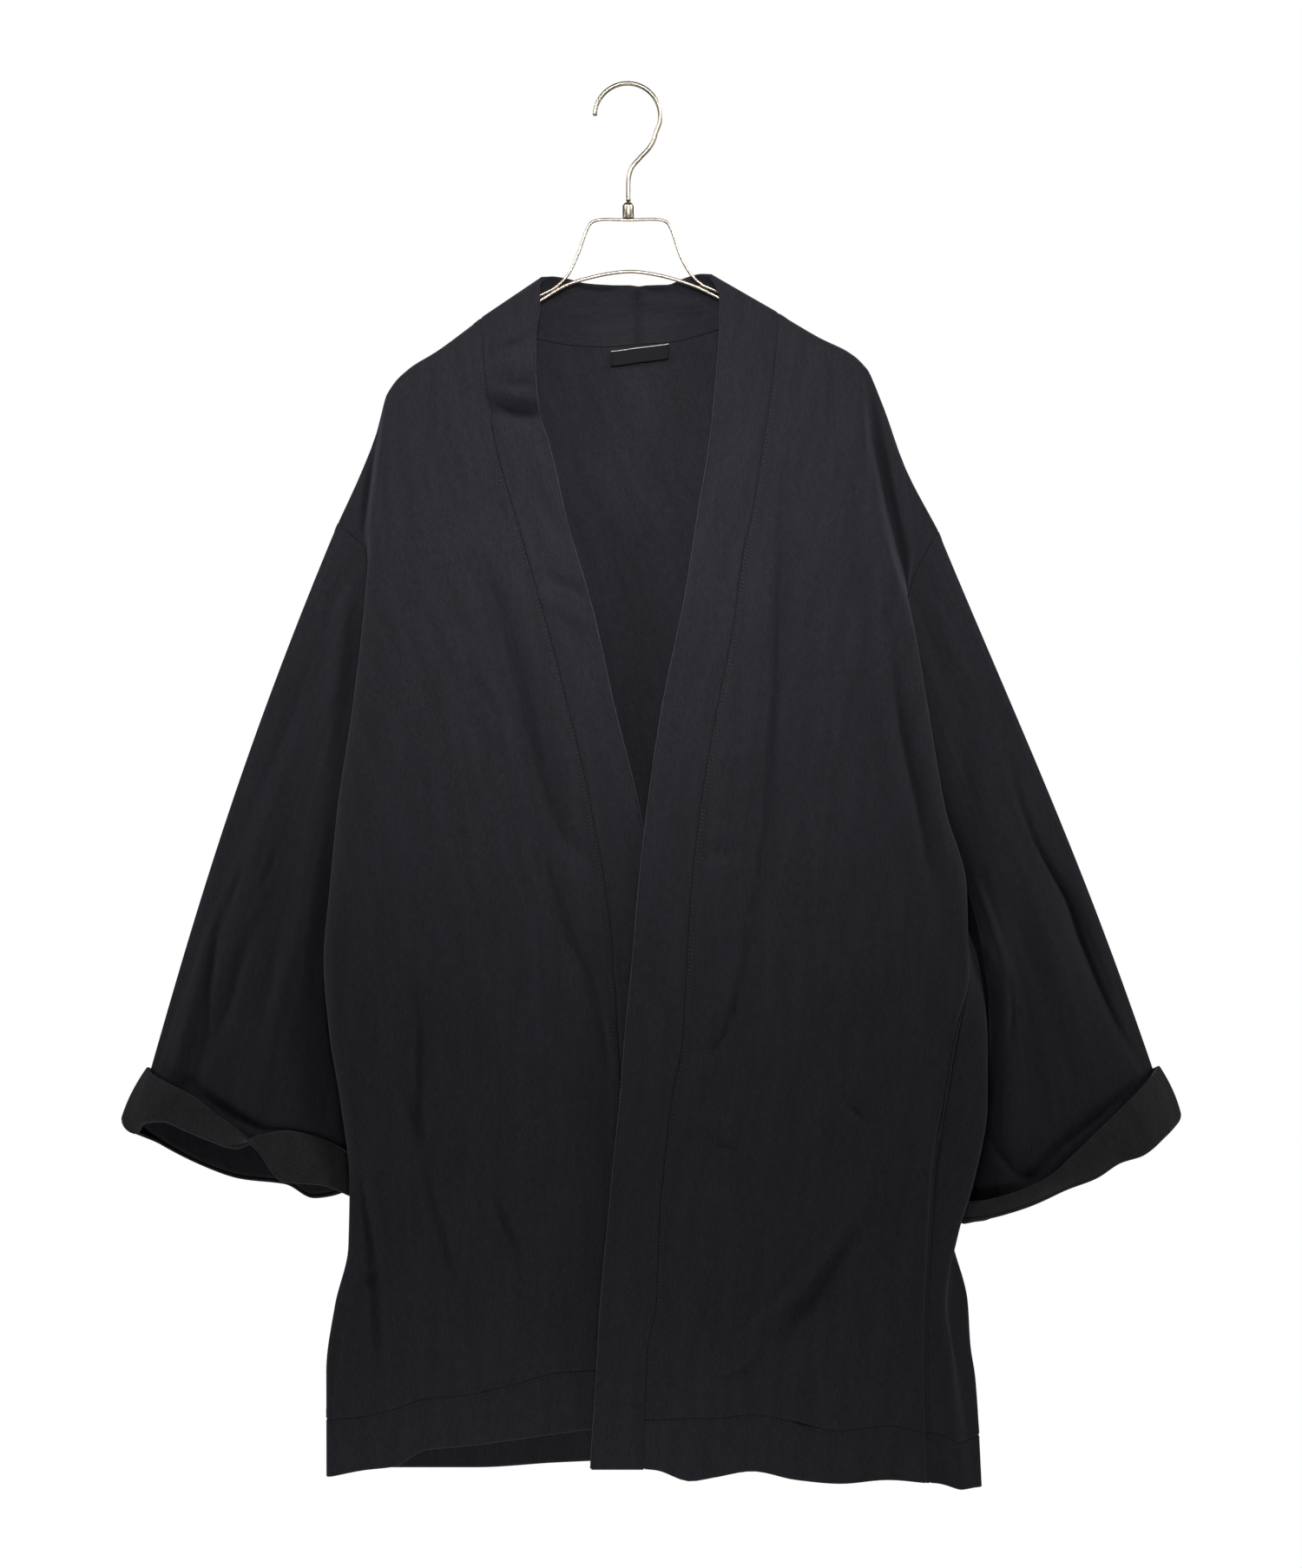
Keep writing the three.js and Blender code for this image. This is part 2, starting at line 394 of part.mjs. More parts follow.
// How each sleeve swings out between its armhole and its end: its outer fold (lowest as
// low is more), its inner fold (less the tuck behind the body) and its belly.
const RIGHT_SLEEVE = { outer: 9.5, low: 0.9, inner: 14, skew: 0.5, tuck: 0.2, belly: 4 };
const LEFT_SLEEVE = { outer: 6.5, low: 1.3, inner: 33, skew: 0.62, tuck: 0.5, belly: 4 };
// Wires of the hanger, in its own plane (x, z): the hook's bow by angle and its stem below, then
// the frame and the arch from the right tip to the left one.
const HOOK_ANGLES = [180, 160, 140, 120, 100, 80, 60, 40, 20, 0, -15, -30];
const HOOK_STEM = [[20.6, -43.4], [16.4, -50.6], [9.3, -58.2], [3, -65.8], [0.4, -74], [0, -83], [0, -94]];
const FRAME_PATH = [
  [-189.7, -248.6], [-177.8, -235.3], [-152.6, -218.5], [-117.6, -194.7], [-93.8, -181.4], [-72.1, -169.5],
  [-58.8, -162.5], [-49.0, -152.7], [-39.9, -133.8], [-33.6, -116.3], [-30.1, -110.7], [-23.8, -108.2],
  [0.0, -108.2], [25.9, -108.2], [31.5, -110.7], [35.0, -117.0], [42.0, -137.3], [50.4, -152.0],
  [59.5, -160.4], [72.1, -166.0], [88.2, -174.4], [120.4, -189.8], [154.0, -209.4], [177.8, -222.0],
  [187.6, -230.4],
];
const ARCH_PATH = [
  [-104.3, -191.9], [-86.8, -181.8], [-72.1, -173.7], [-49.0, -160.4], [-30.8, -154.8], [-11.9, -151.0],
  [2.8, -149.9], [18.2, -151.7], [35.0, -155.5], [53.9, -161.8], [72.8, -170.9], [88.2, -179.3],
  [105.7, -188.4],
];

const clamp = (value, low, high) => Math.min(high, Math.max(low, value));
const mix = (a, b, share) => a + (b - a) * share;
const smooth = (share) => {
  const s = clamp(share, 0, 1);
  return s * s * (3 - 2 * s);
};

/** A smooth curve through points that never overshoots them (monotone cubic). */
function curve(at, values) {
  const count = at.length;
  const steps = at.slice(1).map((a, n) => a - at[n]);
  const slopes = steps.map((step, n) => (values[n + 1] - values[n]) / step);
  const tangents = at.map((_, n) => {
    if (n === 0) return slopes[0];
    if (n === count - 1) return slopes[count - 2];
    if (slopes[n - 1] * slopes[n] <= 0) return 0;
    const before = 2 * steps[n] + steps[n - 1];
    const after = steps[n] + 2 * steps[n - 1];
    return (before + after) / (before / slopes[n - 1] + after / slopes[n]);
  });
  return (x) => {
    const where = clamp(x, at[0], at[count - 1]);
    let n = 0;
    while (n < count - 2 && where > at[n + 1]) n += 1;
    const step = steps[n];
    const t = (where - at[n]) / step;
    const t2 = t * t;
    const t3 = t2 * t;
    return (2 * t3 - 3 * t2 + 1) * values[n] + (t3 - 2 * t2 + t) * step * tangents[n]
      + (3 * t2 - 2 * t3) * values[n + 1] + (t3 - t2) * step * tangents[n + 1];
  };
}

/** Reads every column of a table at any value of its driving column. */
function table(rows, by) {
  const sorted = [...rows].sort((a, b) => a[by] - b[by]);
  const at = sorted.map((row) => row[by]);
  const names = Object.keys(rows[0]).filter((name) => name !== by);
  const curves = names.map((name) => [name, curve(at, sorted.map((row) => row[name]))]);
  return (value) => Object.fromEntries(curves.map(([name, read]) => [name, read(value)]));
}

/** How far a set of folds lifts the cloth at (x, z). */
function liftOf(folds, x, z) {
  let lift = 0;
  for (const fold of folds) {
    let nearest = Infinity;
    let along = 0;
    const pieces = fold.path.length - 1;
    for (let n = 0; n < pieces; n += 1) {
      const [ax, az] = fold.path[n];
      const [bx, bz] = fold.path[n + 1];
      const length = (bx - ax) ** 2 + (bz - az) ** 2;
      const share = clamp(((x - ax) * (bx - ax) + (z - az) * (bz - az)) / length, 0, 1);
      const distance = Math.hypot(x - mix(ax, bx, share), z - mix(az, bz, share));
      if (distance < nearest) {
        nearest = distance;
        along = (n + share) / pieces;
      }
    }
    const across = smooth(1 - nearest / (FOLD_REACH * fold.width));
    const ends = mix(FOLD_END, 1, Math.sin(Math.PI * clamp(along, 0, 1)));
    lift += fold.lift * across * ends;
  }
  return lift;
}

/** One front panel: a point at a share of its width and a height, and the heights of its edges. */
function frontPanel(levels, shoulderRows, hemRows, folds, side) {
  const level = table(levels, 'z');
  const shoulder = table(shoulderRows, 'at');
  const hem = table(hemRows, 'x');
  const { seam, front, crest, side: edge } = FRONT_POINTS;
  const section = (share, z) => {
    const row = level(z);
    const xs = [row.seamX, row.crestX - side * row.round * CREST_SPREAD, row.crestX, row.sideX];
    const ys = [row.seamY, row.crestY, row.crestY + row.round, row.sideY];
    const at = [seam, front, crest, edge];
    return { x: curve(at, xs)(share), y: curve(at, ys)(share) };
  };
  const point = (share, z) => {
    const top = shoulder(share);
    const here = section(share, z);
    const start = section(share, top.z);
    const drop = Math.max(0, top.z - z);
    const x = here.x + (top.x - start.x) * (1 - smooth(drop / SHOULDER_EASE));
    const settle = 1 - Math.exp(-drop / SHOULDER_SPREAD);
    const slit = pocket(z) * smooth((share - crest) / (edge - crest));
    const loose = settle * smooth((1 - share) / SIDE_HOLD - 0.25);
    return new THREE.Vector3(x, here.y - start.y * (1 - settle) - loose * liftOf(folds, x, z) - slit, z);
  };
  const hemAt = (share) => hem(section(share, HEM_HEIGHT).x);
  return { point, section, top: (share) => shoulder(share).z, hem: hemAt };
}

/** How far a pocket slit stands open at a height. */
function pocket(z) {
  const share = (SLIT_TOP - z) / (SLIT_TOP - SLIT_BOTTOM);
  return share > 0 && share < 1 ? SLIT_GAP * Math.sin(Math.PI * share) ** 0.6 : 0;
}

const rightFront = frontPanel(RIGHT_FRONT, RIGHT_SHOULDER, RIGHT_HEM, RIGHT_FOLDS, -1);
const leftFront = frontPanel(LEFT_FRONT, LEFT_SHOULDER, LEFT_HEM, LEFT_FOLDS, 1);

/** The back panel, from the right side edge (share 0) round to the left one (share 1). */
function backPanel() {
  const rightLevel = table(BACK_RIGHT, 'z');
  const leftLevel = table(BACK_LEFT, 'z');
  const hem = table(BACK_HEM, 'x');
  const neck = table(NECK_SEAM, 'at');
  const rightArmhole = table(RIGHT_BACK_ARMHOLE, 'z');
  const leftArmhole = table(LEFT_BACK_ARMHOLE, 'z');
  const rightShoulder = table(RIGHT_SHOULDER, 'at');
  const leftShoulder = table(LEFT_SHOULDER, 'at');
  const section = (share, z) => {
    const inRight = rightLevel(z);
    const inLeft = leftLevel(z);
    const { flatY } = inRight;
    const right = z >= UNDERARM ? rightArmhole(z) : rightFront.section(1, z);
    const left = z >= UNDERARM ? leftArmhole(z) : leftFront.section(1, z);
    const xs = [right.x, inRight.turnX, inRight.flatX, (inRight.flatX + inLeft.flatX) / 2, inLeft.flatX,
      inLeft.turnX, inLeft.valleyX, inLeft.crestX, left.x];
    const ys = [right.y, inRight.turnY, flatY, flatY, flatY,
      inLeft.turnY, inLeft.valleyY, inLeft.crestY, left.y];
    return { x: curve(BACK_POINTS, xs)(share), y: curve(BACK_POINTS, ys)(share) };
  };
  const top = (share) => {
    if (share <= NECK_START) return { ...rightShoulder(1 - share / NECK_START), y: 0 };
    if (share >= NECK_END) return { ...leftShoulder((share - NECK_END) / (1 - NECK_END)), y: 0 };
    return neck((share - NECK_START) / (NECK_END - NECK_START));
  };
  const point = (share, z) => {
    const start = top(share);
    const here = section(share, z);
    const fromStart = section(share, start.z);
    const drop = Math.max(0, start.z - z);
    const x = here.x + (start.x - fromStart.x) * (1 - smooth(drop / SHOULDER_EASE));
    const neckShare = smooth((share - NECK_START) / NECK_BLEND) * smooth((NECK_END - share) / NECK_BLEND);
    const spread = mix(SHOULDER_SPREAD, NECK_SPREAD, neckShare);
    const settle = 1 - Math.exp(-drop / spread);
    const inner = smooth(share / SIDE_HOLD) * smooth((1 - share) / SIDE_HOLD) * smooth(drop / BACK_HOLD);
    const lift = inner * liftOf(BACK_FOLDS, x, z);
    return new THREE.Vector3(x, here.y + (start.y - fromStart.y) * (1 - settle) + lift, z);
  };
  const hemAt = (share) => {
    const own = hem(section(share, HEM_HEIGHT).x);
    const right = rightFront.hem(1);
    const left = leftFront.hem(1);
    const toRight = 1 - smooth(share / HEM_BLEND.right);
    const toLeft = 1 - smooth((1 - share) / HEM_BLEND.left);
    const blend = (name) => mix(mix(own[name], right[name], toRight), left[name], toLeft);
    return { seam: blend('seam'), bottom: blend('bottom') };
  };
  return { point, top: (share) => top(share).z, hem: hemAt };
}

const back = backPanel();

/** The heights of a panel's rows down one of its columns. */
function heights(panel, share) {
  const top = panel.top(share);
  const upper = UPPER_ROWS.map((row) => mix(top, UNDERARM, row));
  return [...upper, ...LOWER_ROWS.map((row) => mix(UNDERARM, panel.hem(share).seam, row))];
}

/** Points in rows from the shoulder down to the hem's seam. */
function panelGrid(panel, columns) {
  const down = columns.map((share) => heights(panel, share).map((z) => panel.point(share, z)));
  return down[0].map((_, row) => down.map((line) => line[row]));
}

/** Points in rows from the hem's seam down to its bottom edge. */
function hemGrid(panel, columns) {
  return HEM_ROWS.map((row) => columns.map((share) => {
    const { seam, bottom } = panel.hem(share);
    return panel.point(share, mix(seam, bottom, row));
  }));
}

/** The sleeve: rings from the armhole, over the front and back behind, down to its end. */
function sleeveGrid(front, backShare, endRows, folds, side) {
  const end = table(endRows, 'at');
  const levels = UPPER_ROWS.map((row) => mix(front.top(1), UNDERARM, row));
  const around = [...UPPER_ROWS, ...[...UPPER_ROWS].reverse().slice(1, -1).map((row) => 2 - row)];
  const armhole = [...levels.map((z) => front.point(1, z)),
    ...[...levels].reverse().slice(1, -1).map((z) => back.point(backShare, z))];
  const bow = side > 0 ? LEFT_SLEEVE : RIGHT_SLEEVE;
  const { top, edge } = SLEEVE_HOLD;
  const grid = SLEEVE_ROWS.map((row) => around.map((at, n) => {
    const target = end(at);
    const place = armhole[n].clone().lerp(new THREE.Vector3(target.x, target.y, target.z), row);
    const share = at <= 1 ? at : 2 - at;
    const facing = at <= 1 ? -1 : 1;
    const outer = bow.outer * Math.sin(Math.PI * row ** bow.low) * (1 - share) ** 2;
    const tucked = facing > 0 ? 1 - bow.tuck * smooth((1 - share) / edge) : 1;
    const inner = bow.inner * Math.sin(Math.PI * row ** bow.skew) * share ** 2 * tucked;
    place.x += side * (outer + inner);
    const belly = bow.belly * Math.sin(Math.PI * row) * Math.sin(Math.PI * share);
    const loose = smooth(row / top) * smooth(share / edge) * smooth((1 - share) / edge);
    const lift = facing < 0 ? liftOf(folds, place.x, place.z)
      : BEHIND.lift * liftOf(folds, place.x - BEHIND.shift * side, place.z);
    place.y += facing * (belly + loose * lift);
    return place;
  }));
  return { grid, around, end };
}

/** Rows of a cuff, from the fold at the sleeve's end to its free edge. */
function cuffGrid(sleeve) {
  const last = sleeve.grid[sleeve.grid.length - 1];
  const count = last.length;
  const way = cuffSide(last);
  return CUFF_ROWS.map((row) => sleeve.around.map((at, n) => {
    const before = last[(n + count - 1) % count];
    const after = last[(n + 1) % count];
    const outward = new THREE.Vector2(before.y - after.y, after.x - before.x).normalize();
    const target = sleeve.end(at);
    const root = last[n].clone();
    root.x -= outward.x * target.out * way;
    root.y -= outward.y * target.out * way;
    const free = new THREE.Vector3(target.edgeX, target.edgeY, target.edgeZ);
    return root.lerp(free, row);
  }));
}

/** 1 where a ring runs clockwise seen from above, -1 where it runs the other way. */
function cuffSide(ring) {
  let area = 0;
  ring.forEach((a, n) => {
    const b = ring[(n + 1) % ring.length];
    area += a.x * b.y - b.x * a.y;
  });
  return area > 0 ? 1 : -1;
}

/** The band of one half: from the centre back over the shoulder and down the front. */
function bandGrid(front, freeRows, neckShares, rimEnd) {
  const free = table(freeRows, 'z');
  const rim = table(NECK_RIM, 'at');
  const strips = [];
  for (const share of neckShares) {
    const seam = back.point(share, back.top(share));
    const edge = rim((share - NECK_START) / (NECK_END - NECK_START));
    strips.push([seam, new THREE.Vector3(edge.x, edge.y, edge.z)]);
  }
  const seamHeights = [...heights(front, 0).slice(1), ...HEM_ROWS.slice(1).map((row) => {
    const { seam, bottom } = front.hem(0);
    return mix(seam, bottom, row);
  })];
  const top = front.top(0);
  const rise = rimEnd - top;
  for (const z of seamHeights) {
    const edgeZ = z + rise * (1 - smooth((top - z) / BAND_EASE));
    const edge = free(edgeZ);
    strips.push([front.point(0, z), new THREE.Vector3(edge.x, edge.y, edgeZ)]);
  }
  return strips.map(([seam, edge]) => BAND_COLUMNS.map((share) => seam.clone().lerp(edge, share)));
}

/** Lifts the points of a band's front with the folds that cross it, all but its seam. */
function foldBand(grid, folds, from) {
  grid.forEach((strip, row) => {
    if (row < from) return;
    strip.forEach((place, column) => {
      if (column > 0) place.y -= liftOf(folds, place.x, place.z);
    });
  });
  return grid;
}

// Points within this of each other are one point of the cloth
const SAME = 0.02;
// Orders points by height, and points of one height from side to side
const TILT = 0.01;
const key = (p) => [p.x, p.y, p.z].map((value) => Math.round(value / SAME)).join();

/**
 * Sheets of cloth are grids of points. Each is thickened along normals that are shared where two
 * sheets meet, so that their walls are mitred there, and is drawn back a little from each seam.
 */
const sheets = [];
function addSheet(name, grid, wall, options) {
  const plain = { closed: false, flip: false, alone: false, level: () => false, gap: () => SEAM };
  sheets.push({ name, grid, wall, ...plain, ...options });
}

/** The direction in which a cell of a grid faces, as long as the cell is large. */
function faceNormal(grid, row, column, next, flip) {
  const a = grid[row][column];
  const b = grid[row][next];
  const c = grid[row + 1][next];
  const d = grid[row + 1][column];
  const normal = new THREE.Vector3().crossVectors(c.clone().sub(a), b.clone().sub(d));
  return flip ? normal.negate() : normal;
}

/** Visits every cell of a sheet, round and round where it is closed. */
function eachCell(sheet, visit) {
  const rows = sheet.grid.length;
  const columns = sheet.grid[0].length;
  for (let row = 0; row < rows - 1; row += 1) {
    for (let column = 0; column < (sheet.closed ? columns : columns - 1); column += 1) {
      visit(row, column, (column + 1) % columns);
    }
  }
}

/** The normal at each point of the cloth, from all the sheets that meet there. */
function sharedNormals() {
  const sums = new Map();
  for (const sheet of sheets) {
    eachCell(sheet, (row, column, next) => {
      const normal = faceNormal(sheet.grid, row, column, next, sheet.flip).normalize();
      for (const [r, c] of [[row, column], [row, next], [row + 1, next], [row + 1, column]]) {
        const id = sheet.alone ? `${sheet.name}${key(sheet.grid[r][c])}` : key(sheet.grid[r][c]);
        if (!sums.has(id)) sums.set(id, { normal: new THREE.Vector3(), owners: new Set() });
        sums.get(id).normal.add(normal);
        sums.get(id).owners.add(sheet.name);
      }
    });
  }
  for (const sum of sums.values()) sum.normal.normalize();
  return sums;
}

/** A closed wall of the sheet's thickness. */
function wallGeometry(sheet, sums) {
  const { grid, wall, closed, flip } = sheet;
  const rows = grid.length;
  const columns = grid[0].length;
  const outer = [];
  const inner = [];
  const idOf = (p) => (sheet.alone ? `${sheet.name}${key(p)}` : key(p));
  for (let row = 0; row < rows; row += 1) {
    for (let column = 0; column < columns; column += 1) {
      const place = grid[row][column].clone();
      const sum = sums.get(idOf(place));
      const normal = sum.normal.clone();
      if (sheet.level(row, column)) normal.setY(0).normalize();
      const shift = new THREE.Vector3();
      const drawBack = (toward, along) => {
        const inward = toward.clone().sub(grid[row][column]);
        inward.addScaledVector(normal, -inward.dot(normal));
        if (along.lengthSq() > 0) {
          const way = along.clone().normalize();
          way.addScaledVector(normal, -way.dot(normal)).normalize();
          inward.addScaledVector(way, -inward.dot(way));
        }
        if (inward.lengthSq() > 0) shift.addScaledVector(inward.normalize(), sheet.gap(row));
      };
      const seamed = sum.owners.size > 1 || sheet.level(row, column);
      const left = grid[row][closed ? (column + columns - 1) % columns : Math.max(0, column - 1)];
      const right = grid[row][closed ? (column + 1) % columns : Math.min(columns - 1, column + 1)];
      const up = grid[Math.max(0, row - 1)][column];
      const down = grid[Math.min(rows - 1, row + 1)][column];
      if (seamed && row === 0) drawBack(down, right.clone().sub(left));
      if (seamed && row === rows - 1) drawBack(up, right.clone().sub(left));
      if (seamed && !closed && column === 0) drawBack(right, down.clone().sub(up));
      if (seamed && !closed && column === columns - 1) drawBack(left, down.clone().sub(up));
      place.add(shift);
      outer.push(place.clone().addScaledVector(normal, wall / 2));
      inner.push(place.clone().addScaledVector(normal, -wall / 2));
    }
  }
  const positions = [...outer, ...inner].flatMap((p) => [p.x, p.y, p.z]);
  const at = (row, column) => row * columns + column;
  const under = rows * columns;
  const faces = [];
  const quad = (a, b, c, d) => faces.push(a, b, c, a, c, d);
  eachCell(sheet, (row, column, next) => {
    const corners = [at(row, column), at(row + 1, column), at(row + 1, next), at(row, next)];
    if (flip) corners.reverse();
    quad(...corners);
    quad(...corners.map((n) => n + under).reverse());
  });
  const places = grid.flat();
  // The split of a rim's quads depends on where they are, so that two mitred rims match
  const rim = (a, b) => {
    const [from, to] = flip ? [b, a] : [a, b];
    if (places[from].z + TILT * places[from].x > places[to].z + TILT * places[to].x) {
      quad(from, to, to + under, from + under);
    } else {
      quad(to, to + under, from + under, from);
    }
  };
  for (let column = 0; column < (closed ? columns : columns - 1); column += 1) {
    const next = (column + 1) % columns;
    rim(at(0, column), at(0, next));
    rim(at(rows - 1, next), at(rows - 1, column));
  }
  for (let row = 0; !closed && row < rows - 1; row += 1) {
    rim(at(row + 1, 0), at(row, 0));
    rim(at(row, columns - 1), at(row + 1, columns - 1));
  }
  const geometry = new THREE.BufferGeometry();
  geometry.setAttribute('position', new THREE.Float32BufferAttribute(positions, 3));
  geometry.setIndex(faces);
  return geometry;
}

/** A round wire along points in the hanger's plane. */
function wire(points, diameter, steps, sides) {
  const places = points.map(([x, z]) => new THREE.Vector3(x, 0, z));
  const path = new THREE.CatmullRomCurve3(places, false, 'centripetal');
  const circle = new THREE.Shape();
  for (let n = 0; n < sides; n += 1) {
    const angle = (2 * Math.PI * n) / sides;
    const place = [(diameter / 2) * Math.cos(angle), (diameter / 2) * Math.sin(angle)];
    if (n === 0) circle.moveTo(...place);
    else circle.lineTo(...place);
  }
  circle.closePath();
  return new THREE.ExtrudeGeometry(circle, { steps, extrudePath: path, bevelEnabled: false });
}

const cloth = () => new THREE.MeshStandardMaterial({ color: CLOTH_COLOUR, roughness: 0.92, metalness: 0 });
const metal = () => new THREE.MeshStandardMaterial({ color: METAL_COLOUR, roughness: 0.32, metalness: 1 });

const group = new THREE.Group();
/** Adds a named piece to the part. */
function addMesh(name, geometry, material) {
  const mesh = new THREE.Mesh(geometry, material);
  mesh.name = name;
  group.add(mesh);
}

// Body
const onShoulder = (row) => row === 0;
const onBackShoulder = (row, column) => {
  const share = BACK_COLUMNS[column];
  return row === 0 && (share <= NECK_START || share >= NECK_END);
};
addSheet('front_right', panelGrid(rightFront, FRONT_COLUMNS), JERSEY, { flip: true, level: onShoulder });
addSheet('front_left', panelGrid(leftFront, FRONT_COLUMNS), JERSEY, { level: onShoulder });
addSheet('back', panelGrid(back, BACK_COLUMNS), JERSEY, { flip: true, level: onBackShoulder });
addSheet('hem_right', hemGrid(rightFront, FRONT_COLUMNS), JERSEY, { flip: true });
addSheet('hem_left', hemGrid(leftFront, FRONT_COLUMNS), JERSEY, {});
addSheet('hem_back', hemGrid(back, BACK_COLUMNS), JERSEY, { flip: true });

// Sleeves and cuffs
const rightSleeve = sleeveGrid(rightFront, 0, RIGHT_CUFF, RIGHT_SLEEVE_FOLDS, -1);
const leftSleeve = sleeveGrid(leftFront, 1, LEFT_CUFF, LEFT_SLEEVE_FOLDS, 1);
addSheet('sleeve_right', rightSleeve.grid, JERSEY, { closed: true });
addSheet('sleeve_left', leftSleeve.grid, JERSEY, { closed: true, flip: true });
addSheet('cuff_right', cuffGrid(rightSleeve), CUFF, { closed: true, alone: true });
addSheet('cuff_left', cuffGrid(leftSleeve), CUFF, { closed: true, alone: true, flip: true });

// Front and neck band, seamed at the centre back
const neckToRight = NECK_COLUMNS.filter((share) => share <= 0.5).reverse();
const neckToLeft = NECK_COLUMNS.filter((share) => share >= 0.5);
const rightBand = bandGrid(rightFront, RIGHT_FREE_EDGE, neckToRight, RIGHT_FREE_EDGE[0].z);
const leftBand = bandGrid(leftFront, LEFT_FREE_EDGE, neckToLeft, LEFT_FREE_EDGE[0].z);
const atShoulder = neckToRight.length - 1;
const gap = (row) => (Math.abs(row - atShoulder) < 2 ? SHOULDER_SEAM : SEAM);
addSheet('neckband_right', foldBand(rightBand, RIGHT_FOLDS, atShoulder + 1), BAND, { gap });
addSheet('neckband_left', foldBand(leftBand, LEFT_FOLDS, atShoulder + 1), BAND, { gap, flip: true });

// Label, sewn in below the seam of the neck and leaning a little forward
const labelGrid = [0, 0.5, 1].map((row) => LABEL_SHARES.map((share, n) => {
  const drop = mix(LABEL_DROP.right, LABEL_DROP.left, n / (LABEL_SHARES.length - 1)) + LABEL_HEIGHT * row;
  const place = back.point(share, back.top(share) - drop);
  place.y -= JERSEY / 2 + LABEL_CLEAR + LABEL_WALL / 2 + LABEL_LEAN * row;
  return place;
}));
addSheet('neck_label', labelGrid, LABEL_WALL, { alone: true });

const normals = sharedNormals();
for (const sheet of sheets) addMesh(sheet.name, wallGeometry(sheet, normals), cloth());

// Hanger
const hookArc = HOOK_ANGLES.map((degrees) => {
  const angle = THREE.MathUtils.degToRad(degrees);
  const x = HOOK_SHIFT + HOOK_RADIUS * Math.cos(angle);
  return [x, HOOK_WIRE / 2 - HOOK_RADIUS + HOOK_RADIUS * Math.sin(angle)];
});
addMesh('hanger_hook', wire([...hookArc, ...HOOK_STEM], HOOK_WIRE, 36, 8), metal());

const ferruleProfile = [[0, 0], [FERRULE_RADIUS, 0], [FERRULE_RADIUS, FERRULE_LENGTH - FERRULE_CHAMFER],
  [FERRULE_RADIUS - FERRULE_CHAMFER, FERRULE_LENGTH], [0, FERRULE_LENGTH]];
const ferrule = new THREE.LatheGeometry(ferruleProfile.map(([r, y]) => new THREE.Vector2(r, y)), 16);
ferrule.rotateX(Math.PI / 2);
ferrule.translate(0, 0, FERRULE_TOP - FERRULE_LENGTH);
addMesh('hanger_ferrule', ferrule, metal());

addMesh('hanger_frame', wire(FRAME_PATH, FRAME_WIRE, 70, 6), metal());
addMesh('hanger_arch', wire(ARCH_PATH, ARCH_WIRE, 30, 6), metal());

export default group;
